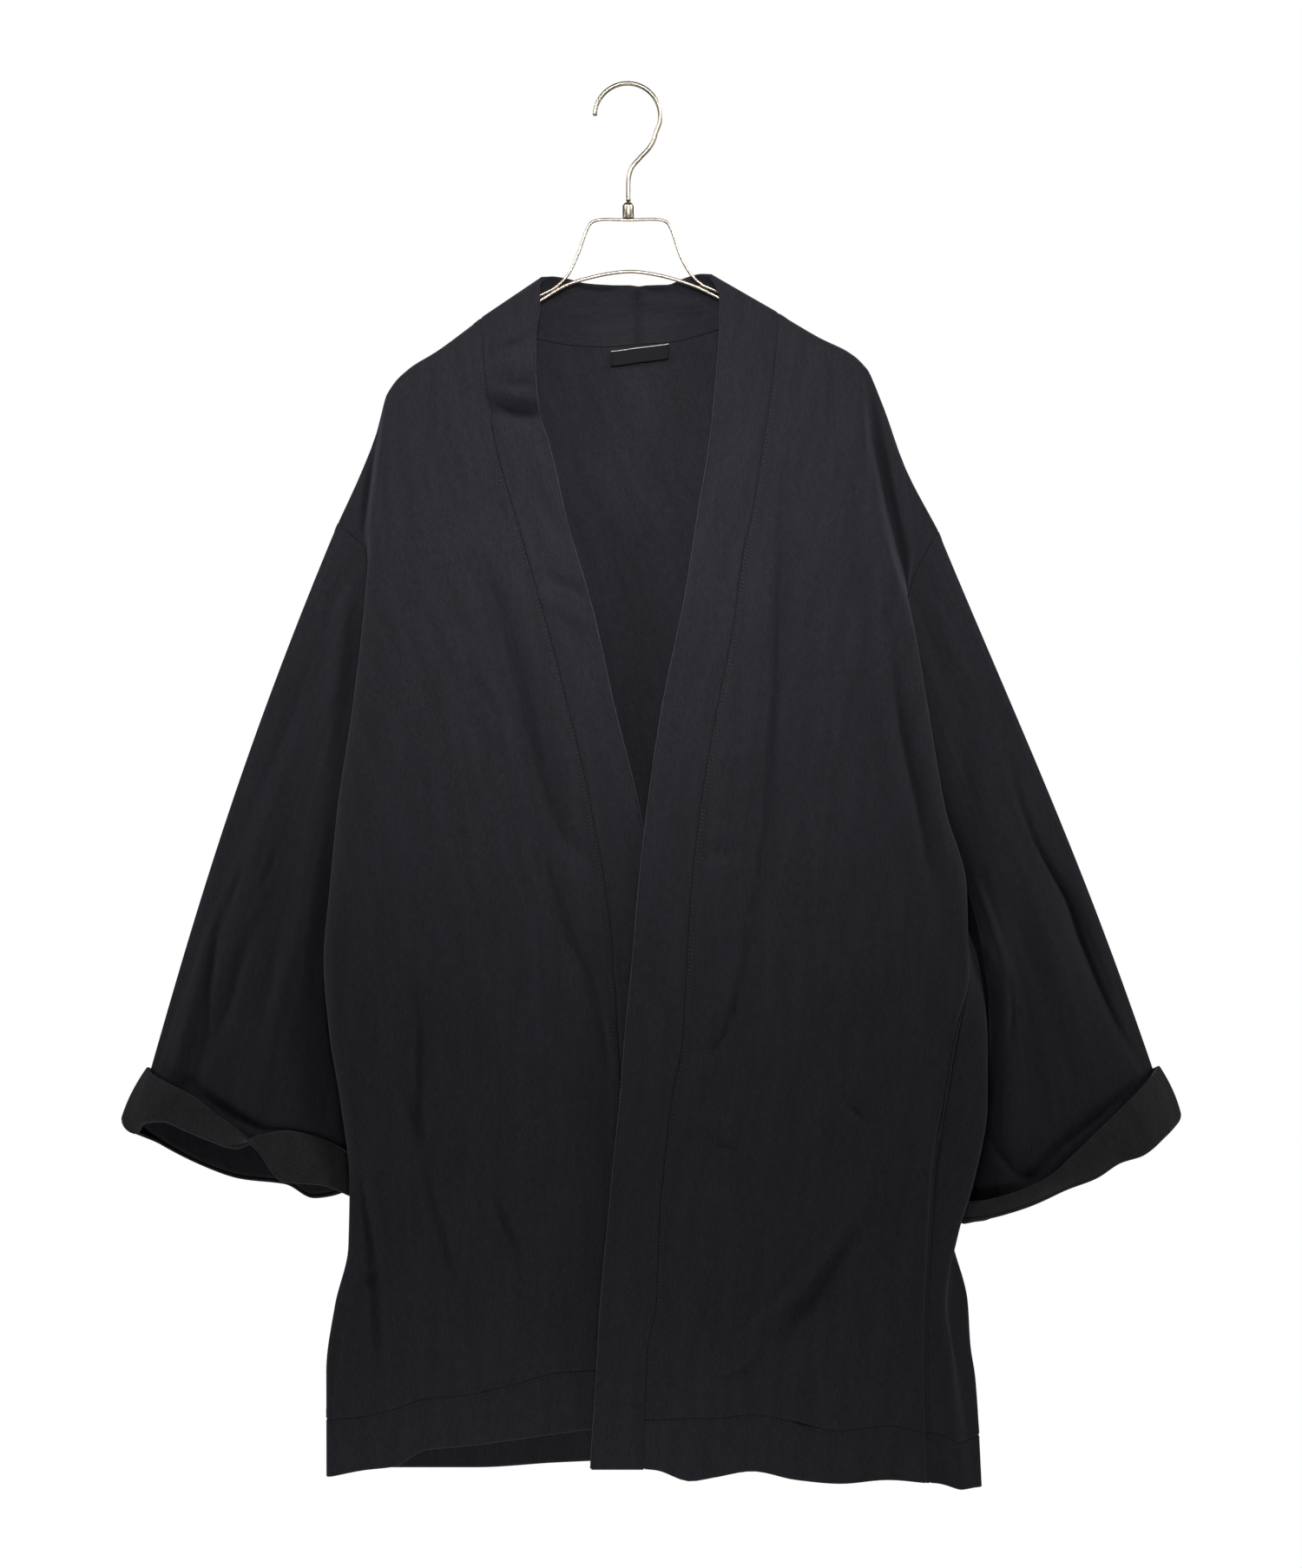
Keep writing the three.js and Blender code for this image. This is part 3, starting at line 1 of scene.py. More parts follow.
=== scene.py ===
import json
import math
import bpy
import numpy as np
from mathutils import Vector
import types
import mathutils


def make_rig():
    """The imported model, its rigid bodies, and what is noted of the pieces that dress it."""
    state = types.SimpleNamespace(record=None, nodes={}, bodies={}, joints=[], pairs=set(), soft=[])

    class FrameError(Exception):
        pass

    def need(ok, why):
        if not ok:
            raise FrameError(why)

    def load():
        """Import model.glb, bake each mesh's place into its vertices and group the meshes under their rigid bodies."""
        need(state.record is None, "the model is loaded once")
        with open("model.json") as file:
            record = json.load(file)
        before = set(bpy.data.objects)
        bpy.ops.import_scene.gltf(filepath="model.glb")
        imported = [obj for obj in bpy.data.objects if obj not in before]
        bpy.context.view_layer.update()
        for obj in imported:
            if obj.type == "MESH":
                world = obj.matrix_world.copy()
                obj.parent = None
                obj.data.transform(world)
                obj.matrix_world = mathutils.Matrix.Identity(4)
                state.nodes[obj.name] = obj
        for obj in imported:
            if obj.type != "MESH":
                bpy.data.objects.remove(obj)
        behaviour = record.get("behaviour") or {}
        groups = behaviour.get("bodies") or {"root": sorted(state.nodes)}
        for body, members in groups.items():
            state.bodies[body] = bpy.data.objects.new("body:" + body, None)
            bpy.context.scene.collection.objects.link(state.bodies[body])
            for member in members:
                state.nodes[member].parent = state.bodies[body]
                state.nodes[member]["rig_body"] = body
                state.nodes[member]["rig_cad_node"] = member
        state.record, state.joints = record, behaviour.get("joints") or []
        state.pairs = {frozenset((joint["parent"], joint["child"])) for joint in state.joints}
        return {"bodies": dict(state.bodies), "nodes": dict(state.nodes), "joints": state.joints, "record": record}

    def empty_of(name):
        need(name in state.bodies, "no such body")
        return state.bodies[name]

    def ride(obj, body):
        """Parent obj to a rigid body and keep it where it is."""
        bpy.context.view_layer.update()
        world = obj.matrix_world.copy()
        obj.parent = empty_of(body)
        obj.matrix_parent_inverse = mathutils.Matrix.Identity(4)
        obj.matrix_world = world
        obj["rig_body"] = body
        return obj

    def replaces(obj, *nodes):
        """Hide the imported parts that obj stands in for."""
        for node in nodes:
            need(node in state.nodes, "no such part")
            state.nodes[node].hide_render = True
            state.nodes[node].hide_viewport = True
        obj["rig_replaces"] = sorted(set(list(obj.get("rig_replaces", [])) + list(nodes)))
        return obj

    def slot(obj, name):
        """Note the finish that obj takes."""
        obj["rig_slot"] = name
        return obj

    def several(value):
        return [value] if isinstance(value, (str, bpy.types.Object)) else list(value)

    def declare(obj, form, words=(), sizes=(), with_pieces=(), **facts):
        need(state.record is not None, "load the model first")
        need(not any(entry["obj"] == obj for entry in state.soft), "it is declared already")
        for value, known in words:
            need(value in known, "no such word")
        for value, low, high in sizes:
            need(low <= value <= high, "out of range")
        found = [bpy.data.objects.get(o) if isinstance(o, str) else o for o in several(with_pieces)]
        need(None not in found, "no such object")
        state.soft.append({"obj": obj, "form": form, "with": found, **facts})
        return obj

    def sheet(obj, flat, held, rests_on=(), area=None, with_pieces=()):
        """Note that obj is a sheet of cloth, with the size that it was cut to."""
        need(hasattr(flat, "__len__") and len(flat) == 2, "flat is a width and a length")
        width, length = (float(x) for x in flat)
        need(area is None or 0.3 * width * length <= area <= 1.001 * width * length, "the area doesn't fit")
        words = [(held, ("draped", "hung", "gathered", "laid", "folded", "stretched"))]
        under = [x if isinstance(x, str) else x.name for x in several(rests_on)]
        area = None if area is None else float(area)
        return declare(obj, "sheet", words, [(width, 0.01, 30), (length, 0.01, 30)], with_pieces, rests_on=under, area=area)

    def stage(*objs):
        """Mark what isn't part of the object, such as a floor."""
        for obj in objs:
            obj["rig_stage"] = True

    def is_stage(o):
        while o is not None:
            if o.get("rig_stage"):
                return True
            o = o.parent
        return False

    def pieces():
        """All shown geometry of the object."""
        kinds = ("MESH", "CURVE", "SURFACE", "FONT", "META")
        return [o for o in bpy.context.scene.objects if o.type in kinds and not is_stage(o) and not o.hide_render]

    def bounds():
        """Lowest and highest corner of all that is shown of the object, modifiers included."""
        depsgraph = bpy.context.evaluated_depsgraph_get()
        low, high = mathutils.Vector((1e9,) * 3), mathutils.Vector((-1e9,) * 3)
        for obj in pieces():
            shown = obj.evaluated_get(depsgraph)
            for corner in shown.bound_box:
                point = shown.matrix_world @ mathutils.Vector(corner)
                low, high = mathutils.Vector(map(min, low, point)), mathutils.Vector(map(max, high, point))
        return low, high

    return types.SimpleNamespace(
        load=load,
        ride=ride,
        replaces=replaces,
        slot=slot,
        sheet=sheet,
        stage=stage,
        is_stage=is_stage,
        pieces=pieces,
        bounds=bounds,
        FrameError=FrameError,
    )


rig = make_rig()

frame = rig.load()
cad_box = [list(corner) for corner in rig.bounds()]

# The camera looks straight at the front, at the height of the garment's middle
CAMERA = (0.0182, -3.0, -0.563)
LENS = 85.43
camera = bpy.data.objects.new("camera", bpy.data.cameras.new("camera"))
camera.data.lens = LENS
camera.location = CAMERA
camera.rotation_euler = (math.pi / 2, 0, 0)
bpy.context.scene.collection.objects.link(camera)
bpy.context.scene.camera = camera

# Sizes in millimetres: x to the viewer's right, y away from the viewer, z up, right and left the
# wearer's. The pieces are scaled to metres when they are made.
MM = 0.001

# Thickness of the cloth's walls, radius of a seam's thread and pitch of its stitches
JERSEY = 1.6
BAND = 2.8
CUFF = 2.6
THREAD = 0.28
STITCH = 3.2

# Heights of the underarm and, roughly, of the hem band's seam
UNDERARM = -646
HEM_HEIGHT = -1070

# Over what drop the cloth leaves the line of the shoulder, the neck and the band's top, and over
# what drop the folds of the back grow to their full height
SHOULDER_SPREAD = 12
NECK_SPREAD = 45
SHOULDER_EASE = 110
BAND_EASE = 90
BACK_HOLD = 80

# Pocket slits: ends, gap in depth, and the sideways gap as a share of it
SLIT_TOP = -712
SLIT_BOTTOM = -850
SLIT_GAP = 3
SLIT_WIDTH = 0.55

# Folds: how many widths they reach, the share of their height at their ends, how much deeper the
# fine ones are, and how the folds of a sleeve's back differ from those of its front
FOLD_REACH = 1.6
FOLD_END = 0.35
CREASE_DEPTH = 1.8
BEHIND_LIFT = 0.7
BEHIND_SHIFT = 18

# Shares of a panel's width or a sleeve's length: where folds fade out towards its edges, where the
# back's neck line runs, and where the back's hem band takes up the fronts' heights. A front has no
# folds in the outer quarter of its fading strip.
SIDE_HOLD = 0.12
SIDE_STILL = 0.25
SLEEVE_HOLD = 0.1
SLEEVE_START = 0.12
NECK_START = 0.3
NECK_END = 0.7
NECK_BLEND = 0.06
RIGHT_HEM_BLEND = 0.06
LEFT_HEM_BLEND = 0.04

# How far before its crest a front's side starts to turn, as a share of its roundness, and how far
# the middle of a free edge stands out, as a share of its wall
CREST_SPREAD = 1.2
EDGE_ROUND = 0.42

# The cuff: rows that turn under the sleeve's end and how far they drop, as a share of their way out,
# then rows up to the free edge, with a belly that is full where the cuff is CUFF_RISE high
FOLD_ROWS = 6
FOLD_DROP = 0.95
CUFF_ROWS = np.concatenate([np.linspace(0, 0.12, 9)[:-1], np.linspace(0.12, 0.96, 13), [0.98, 1]])
CUFF_BELLY = 2.2
CUFF_RISE = 30

# Seams on the cloth's face: the groove, and the ridge of the allowance beside it
SEAM_GROOVE = 0.55
BAND_GROOVE = 0.45
GROOVE_WIDTH = 0.9
SEAM_RIDGE = 0.35
HEM_RIDGE = 0.15
SLEEVE_RIDGE = 0.3
RIDGE_RISE = 1.6
RIDGE_FALL = 1.5
ALLOWANCE = 7.5

# Points of two sheets that fall in one cell of this size lie on a seam
MEET = 0.05


def mix(a, b, share):
    return a + (b - a) * share


def smooth(share):
    s = np.clip(share, 0, 1)
    return s * s * (3 - 2 * s)


def finer(shares, count):
    """The same shares with count steps between each two."""
    shares = np.asarray(shares, float)
    steps = [np.linspace(a, b, count, endpoint=False) for a, b in zip(shares[:-1], shares[1:])]
    return np.append(np.concatenate(steps), shares[-1])


def along(at, values, x):
    """A smooth curve through points that never overshoots them. The values may differ over x."""
    at = np.asarray(at, float)
    x = np.clip(np.asarray(x, float), at[0], at[-1])
    v = np.stack([np.broadcast_to(np.asarray(value, float), x.shape) for value in values])
    steps = np.diff(at).reshape((-1,) + (1,) * x.ndim)
    slopes = np.diff(v, axis=0) / steps
    ahead, behind = slopes[1:], slopes[:-1]
    wide = 2 * steps[1:] + steps[:-1]
    narrow = steps[1:] + 2 * steps[:-1]
    turning = ahead * behind <= 0
    safe = lambda s: np.where(turning, 1, s)
    middle = np.where(turning, 0, (wide + narrow) / (wide / safe(behind) + narrow / safe(ahead)))
    tangents = np.concatenate([slopes[:1], middle, slopes[-1:]])
    n = np.clip(np.searchsorted(at, x, side="left") - 1, 0, len(at) - 2)
    pick = lambda array, index: np.take_along_axis(array, index[None], 0)[0]
    step = np.diff(at)[n]
    t = (x - at[n]) / step
    t2, t3 = t * t, t * t * t
    return ((2 * t3 - 3 * t2 + 1) * pick(v, n) + (t3 - 2 * t2 + t) * step * pick(tangents, n)
            + (3 * t2 - 2 * t3) * pick(v, n + 1) + (t3 - t2) * step * pick(tangents, n + 1))


class Table:
    """Named columns that are read at any value of the first one."""

    def __init__(self, names, rows):
        self.names = names.split()
        ordered = np.array(sorted(rows), float)
        self.at = ordered[:, 0]
        self.columns = ordered[:, 1:].T

    def __call__(self, value):
        read = [along(self.at, column, value) for column in self.columns]
        return dict(zip(self.names[1:], read))


# Shares of a panel's height at which the form is set, above and below the underarm
UPPER = finer([0, 0.02, 0.05, 0.09, 0.14, 0.21, 0.3, 0.4, 0.5, 0.6, 0.7, 0.8, 0.9, 1], 9)
LOWER = finer([0, 0.09, 0.18, 0.27, 0.36, 0.45, 0.54, 0.63, 0.72, 0.81, 0.9, 0.975, 0.992, 1], 9)[1:]
HEM = np.array([0, 0.04, 0.1, 0.2, 0.35, 0.5, 0.65, 0.8, 0.9, 0.96, 1])
SLEEVE = finer([0, 0.01, 0.04, 0.1, 0.18, 0.27, 0.37, 0.48, 0.59, 0.7, 0.8, 0.89, 0.95, 1], 8)
FRONT_ACROSS = finer([0, 0.012, 0.03, 0.07, 0.14, 0.21, 0.28, 0.35, 0.42, 0.49, 0.56, 0.62, 0.68, 0.73,
                      0.78, 0.82, 0.87, 0.91, 0.955, 0.985, 1], 4)
NECK_ACROSS = finer([0.3, 0.312, 0.335, 0.375, 0.42, 0.46, 0.5, 0.54, 0.58, 0.625, 0.665, 0.688, 0.7], 4)
BACK_ACROSS = np.concatenate([
    finer([0, 0.01, 0.04, 0.065, 0.1, 0.14, 0.19, 0.245, 0.3], 4)[:-1], NECK_ACROSS,
    finer([0.7, 0.755, 0.81, 0.86, 0.885, 0.91, 0.935, 0.95, 0.965, 0.985, 1], 4)[1:]])
BAND_ACROSS = np.array([0, 0.01, 0.025, 0.05, 0.1, 0.2, 0.3, 0.4, 0.5, 0.6, 0.7, 0.8, 0.9, 0.95,
                        0.98, 1])

# Shares across at which the section of a front and of the back is given
FRONT_CREST = 0.82
FRONT_POINTS = [0, 0.73, FRONT_CREST, 1]
BACK_POINTS = [0, 0.06, 0.14, 0.5, 0.86, 0.9, 0.935, 0.965, 1]

# The form: sections of the panels by height, and edges by their share from one end to the other. A
# sleeve's end runs from 0 at its outer fold over the front to 1, and back behind to 2.
RIGHT_FRONT = Table("z seam_x seam_y crest_x crest_y round side_x side_y", [
    (-187, -118, -10, -194, -8, 5, -233, 0), (-251, -113, -13, -194, -12, 6, -233, 0),
    (-296, -105, -15, -198, -18, 7, -233, 0), (-352, -89, -16.7, -205, -23.6, 8, -233, 0),
    (-359, -87, -17.1, -206, -24.2, 8, -227, -4.5), (-373, -83, -17.8, -207, -25.4, 8, -212, -6),
    (-421, -69, -19, -211, -28, 9, -206, -6), (-501, -48, -21, -220, -31, 9, -204, -6),
    (-583, -29, -22, -232, -33, 9, -210, -4), (-646, -18, -22, -238, -34, 9, -220, -1),
    (-705, -11, -21, -243, -33, 9, -222, -1), (-760, -8, -20, -239, -30, 9, -221, -2),
    (-818, -5, -19, -230, -26, 8, -218, -5), (-881, -6, -18, -223, -22, 7, -212, -5),
    (-934, -8, -17, -224, -20, 6, -216, -5), (-982, -11, -16, -235, -18, 6, -230, -5),
    (-1035, -14, -15, -242, -16, 5, -238, -4), (-1135, -16, -15, -242, -14, 5, -239, -3),
])
LEFT_FRONT = Table("z seam_x seam_y crest_x crest_y round side_x side_y", [
    (-187, 122, -10, 186, -8, 5, 249, 0), (-228, 118, -12, 187, -10, 6, 249, 0),
    (-296, 107, -15, 193, -18, 7, 249, 0), (-359, 96, -18, 208, -23.7, 8, 249, 0),
    (-366, 94, -18.3, 210, -24.3, 8, 245, -5), (-403, 88, -20, 221, -27, 8, 227, -5),
    (-435, 84, -21, 228, -29, 9, 221, -6), (-501, 71, -24, 239, -32, 9, 224, -6),
    (-583, 57, -28, 253, -34, 9, 241, -5), (-646, 50, -30, 270, -33, 8, 263, -1),
    (-709, 46, -30, 271, -33, 3, 273, -24), (-767, 43, -29, 260, -33, 2, 263, -30),
    (-818, 34, -28, 251, -33, 2, 254, -30), (-861, 29, -27, 243, -32, 2, 246, -29),
    (-904, 25, -27, 240, -31, 2, 243, -28), (-979, 22, -26, 237, -28, 2, 240, -26),
    (-1016, 15, -25, 236, -27, 2, 239, -25), (-1135, 12, -25, 239, -24, 2, 241, -22),
])
BACK_RIGHT = Table("z turn_x turn_y flat_x flat_y", [
    (-187, -213, 9, -178, 10), (-296, -209, 15, -178, 16), (-352, -206, 17, -174, 19),
    (-373, -199, 19, -171, 21), (-421, -193, 21, -164, 23), (-501, -192, 24, -157, 26),
    (-583, -200, 25, -164, 28), (-646, -217, 18, -198, 28), (-709, -224, 15, -206, 27),
    (-767, -224, 12, -207, 26), (-818, -222, 10, -207, 25), (-881, -218, 10, -203, 24),
    (-921, -219, 10, -204, 23), (-982, -231, 9, -211, 22), (-1016, -238, 7, -209, 22),
    (-1044, -241, 6, -211, 21), (-1135, -241, 6, -213, 20),
])
BACK_LEFT = Table("z flat_x turn_x turn_y valley_x valley_y crest_x crest_y", [
    (-187, 165, 183, 9, 197, 7, 221, 3), (-296, 169, 186, 15, 204, 11, 225, 5),
    (-352, 172, 192, 17, 207, 13, 228, 7), (-373, 176, 193, 19, 207, 16, 225, 12),
    (-421, 179, 195, 22, 206, 18, 216, 16), (-501, 183, 197, 24, 207, 21, 216, 19),
    (-583, 197, 214, 25, 223, 21, 230, 19), (-646, 225, 245, 24, 252, 19, 258, 14),
    (-709, 235, 260, 20, 269, 8, 281, -12), (-767, 237, 262, 19, 272, 4, 287, -20),
    (-818, 238, 263, 17, 272, 2, 287, -21), (-881, 237, 256, 15, 262, 0, 276, -22),
    (-921, 238, 259, 14, 259, -4, 264, -22), (-982, 252, 274, 10, 256, -8, 253, -22),
    (-1016, 253, 276, 8, 260, -8, 258, -21), (-1044, 258, 280, 7, 266, -6, 260, -18),
    (-1135, 266, 285, 6, 279, -2, 266, -14),
])
RIGHT_BACK_ARMHOLE = Table("z x y", [
    (-352, -233, 0), (-359, -227, 4.5), (-373, -216, 9), (-421, -209, 14), (-501, -206, 16),
    (-583, -210, 14), (-646, -220, -1),
])
LEFT_BACK_ARMHOLE = Table("z x y", [
    (-359, 249, 0), (-366, 245, 5), (-382, 238, 10), (-421, 230, 15), (-501, 230, 17), (-583, 244, 17),
    (-646, 263, -1),
])
RIGHT_SHOULDER = Table("at x z", [
    (0, -118, -188), (0.3, -153, -214), (0.6, -178, -230), (0.8, -194, -249), (0.87, -203, -282),
    (0.93, -216, -315), (1, -233, -352),
])
LEFT_SHOULDER = Table("at x z", [
    (0, 120, -184), (0.3, 154, -204), (0.6, 178, -216), (0.8, 192, -229), (0.87, 206, -262),
    (0.93, 222, -307), (1, 249, -359),
])
RIGHT_FREE_EDGE = Table("z x y", [
    (-155, -69, 0), (-162, -72, -6), (-181, -72, -11), (-205, -75, -13), (-232, -75, -15),
    (-260, -73, -13), (-296, -63, -14), (-352, -50, -17), (-421, -30, -19), (-501, -12, -21),
    (-583, 8, -22), (-646, 18, -22), (-705, 28, -21), (-760, 31, -20), (-818, 34, -19),
    (-881, 33, -18), (-934, 31, -17), (-982, 28, -16), (-1035, 25, -15), (-1135, 24, -15),
])
LEFT_FREE_EDGE = Table("z x y", [
    (-153, 66, 0), (-162, 70, -6), (-172, 74, -10), (-200, 74, -13), (-228, 72, -15), (-289, 66, -17),
    (-344, 57, -19), (-414, 46, -22), (-501, 28, -25), (-583, 16, -29), (-646, 9, -31), (-705, 4, -31),
    (-767, -2, -30), (-818, -6, -29), (-865, -11, -28), (-909, -15, -27), (-986, -22, -26),
    (-1023, -24, -25), (-1086, -28, -25), (-1135, -31, -25),
])
NECK_SEAM = Table("at x z y", [
    (0, -118, -188, 0), (0.03, -113, -189, 4), (0.08, -101, -195, 8), (0.18, -73, -203, 11),
    (0.31, -43, -208, 13), (0.42, -17, -209, 14), (0.5, 8, -207, 14), (0.62, 36, -205, 13),
    (0.72, 57, -200, 12), (0.8, 74, -195, 10), (0.91, 102, -188, 8), (0.97, 116, -184, 4),
    (1, 120, -184, 0),
])
RIGHT_RIM_END = -154.8
LEFT_RIM_END = -153.4
NECK_RIM = Table("at x z y", [
    (0, -69, -155, 0), (0.08, -62, -154, 4), (0.18, -52, -155, 8), (0.31, -34, -159, 11),
    (0.42, -14, -160, 13), (0.5, 8, -160, 14), (0.62, 31, -160, 12), (0.72, 43, -156, 9),
    (0.8, 53, -153, 6), (0.91, 60, -152, 3), (1, 66, -153, 0),
])
RIGHT_HEM = Table("x seam bottom", [
    (-242, -1073, -1119), (-212, -1070, -1113), (-187, -1064, -1110), (-164, -1056, -1097),
    (-133, -1053, -1094), (-87, -1043, -1088), (-59, -1035, -1084), (-25, -1033, -1080),
    (25, -1032, -1079),
])
LEFT_HEM = Table("x seam bottom", [
    (-31, -1070, -1108), (22, -1071, -1111), (50, -1070, -1120), (69, -1070, -1117),
    (99, -1067, -1112), (134, -1073, -1119), (169, -1080, -1122), (206, -1076, -1119),
    (241, -1082, -1122),
])
BACK_HEM = Table("x seam bottom", [
    (-242, -1075, -1122), (-199, -1072, -1117), (-123, -1070, -1117), (-57, -1066, -1113),
    (1, -1063, -1111), (88, -1072, -1119), (165, -1079, -1125), (241, -1086, -1126),
    (263, -1091, -1129), (285, -1088, -1130),
])
RIGHT_CUFF = Table("at x z y out edge_x edge_z edge_y", [
    (0, -396, -833, 2, 12, -387, -792, -2), (0.12, -388, -830, -11, 5, -382, -796, -18),
    (0.25, -374, -829, -18, 4, -368, -803, -27), (0.38, -354, -837, -21, 3, -347, -813, -32),
    (0.5, -334, -845, -23, 3, -329, -827, -34), (0.6, -314, -851, -24, 3, -312, -838, -37),
    (0.68, -297, -845, -23, 3, -295, -855, -37), (0.78, -276, -842, -19, 3, -276, -880, -27),
    (0.9, -248, -849, -9, 3, -246, -884, -16), (1, -227, -865, 3, 3, -224, -895, 4),
    (1.1, -229, -887, 15, 3.5, -227, -894, 26), (1.22, -255, -895, 19, 3, -256, -855, 30),
    (1.36, -279, -884, 22, 3, -284, -839, 31), (1.5, -314, -880, 23, 3, -319, -835, 32),
    (1.64, -346, -869, 22, 3, -349, -824, 30), (1.8, -378, -851, 17, 4, -377, -806, 25),
    (1.92, -391, -840, 9, 8, -386, -795, 13), (2, -396, -833, 2, 12, -387, -792, -2),
])
LEFT_CUFF = Table("at x z y out edge_x edge_z edge_y", [
    (0, 435, -830, 2, 10, 427, -791, -2), (0.12, 428, -841, -10, 6, 417, -801, -18),
    (0.25, 412, -856, -18, 4, 400, -817, -28), (0.38, 393, -863, -21, 3, 381, -835, -32),
    (0.52, 374, -875, -22, 3, 358, -857, -34), (0.66, 351, -884, -21, 3, 337, -876, -33),
    (0.8, 321, -898, -18, 3, 314, -888, -29), (0.9, 290, -908, -12, 3, 286, -897, -21),
    (1, 271, -912, 3, 5, 267, -900, -6), (1.12, 287, -911, 14, 5, 284, -877, 22),
    (1.26, 319, -898, 19, 3, 312, -866, 29), (1.4, 347, -884, 22, 3, 336, -852, 32),
    (1.56, 377, -870, 22, 3, 364, -832, 31), (1.72, 402, -858, 19, 3, 392, -814, 28),
    (1.88, 426, -841, 11, 7, 417, -799, 17), (2, 435, -830, 2, 10, 427, -791, -2),
])
# Folds and creases: name, width, height out of the cloth (below 0 for a trough), path in x and z
RIGHT_FOLDS = [
    ("seam trough", 12, -5,
     [(-119, -391), (-104, -415), (-87, -477), (-72, -543), (-50, -607), (-40, -622)]),
    ("seam ridge", 12, 3, [(-103, -379), (-88, -421), (-70, -484), (-54, -547), (-34, -604)]),
    ("overlap trough", 10, -4, [(-67, -622), (-48, -681), (-33, -707), (-23, -734)]),
    ("overlap ridge", 10, 3, [(-52, -620), (-34, -676), (-17, -715)]),
    ("chest ridge", 10, 3, [(-134, -454), (-104, -508), (-77, -573)]),
    ("long trough", 10, -4, [(-167, -736), (-167, -845), (-156, -899), (-139, -965)]),
    ("edge groove", 9, -5, [(-215, -879), (-207, -929), (-201, -1005), (-197, -1064)]),
    ("low crease", 8, -3, [(-103, -899), (-88, -940)]),
    ("band bulge", 17, 7, [(-90, -212), (-88, -244)]),
    ("band tuck", 10, -6, [(-111, -257), (-88, -265), (-67, -260)]),
]
LEFT_FOLDS = [
    ("seam trough", 13, -4,
     [(121, -239), (120, -386), (118, -496), (110, -594), (96, -688), (84, -754), (67, -806)]),
    ("seam ridge", 13, 3, [(101, -421), (98, -526), (88, -617), (78, -694)]),
    ("side trough", 10, -4, [(207, -414), (216, -508), (229, -562), (239, -602), (248, -692)]),
    ("chest trough", 17, -3, [(180, -410), (182, -484), (175, -557), (172, -594)]),
    ("hip ridge", 12, 4, [(188, -891), (149, -933), (118, -969), (90, -995), (79, -1024)]),
    ("hip trough", 10, -3, [(200, -911), (162, -951), (132, -986), (106, -1016)]),
    ("knot", 10, 3, [(56, -832), (79, -852)]),
    ("low crease", 9, -2, [(175, -816), (193, -832)]),
]
RIGHT_SLEEVE_FOLDS = [
    ("upper ridge", 10, 3, [(-218, -386), (-237, -491)]),
    ("middle trough", 15, -4, [(-255, -463), (-276, -631), (-284, -757)]),
    ("end ridge", 9, 3, [(-354, -736), (-363, -797)]),
]
LEFT_SLEEVE_FOLDS = [
    ("long trough", 10, -3, [(332, -619), (346, -644), (359, -669), (370, -713), (393, -762)]),
    ("upper ridge", 10, 3, [(249, -407), (269, -505)]),
    ("underarm ridge", 6, 4, [(280, -652), (298, -699), (305, -736), (302, -757)]),
    ("underarm hollow", 6, -4, [(280, -680), (288, -708), (291, -736)]),
    ("inner hollow", 8, -2, [(293, -781), (297, -834)]),
]
BACK_FOLDS = [
    ("right trough", 21, -3, [(-73, -323), (-84, -505), (-90, -715), (-115, -925)]),
    ("left trough", 22, -3, [(80, -309), (95, -491), (104, -736), (127, -911)]),
    ("middle ridge", 24, 3, [(8, -561), (13, -771), (8, -1023)]),
    ("side ridge", 18, 3, [(-143, -631), (-153, -813), (-164, -1023)]),
]
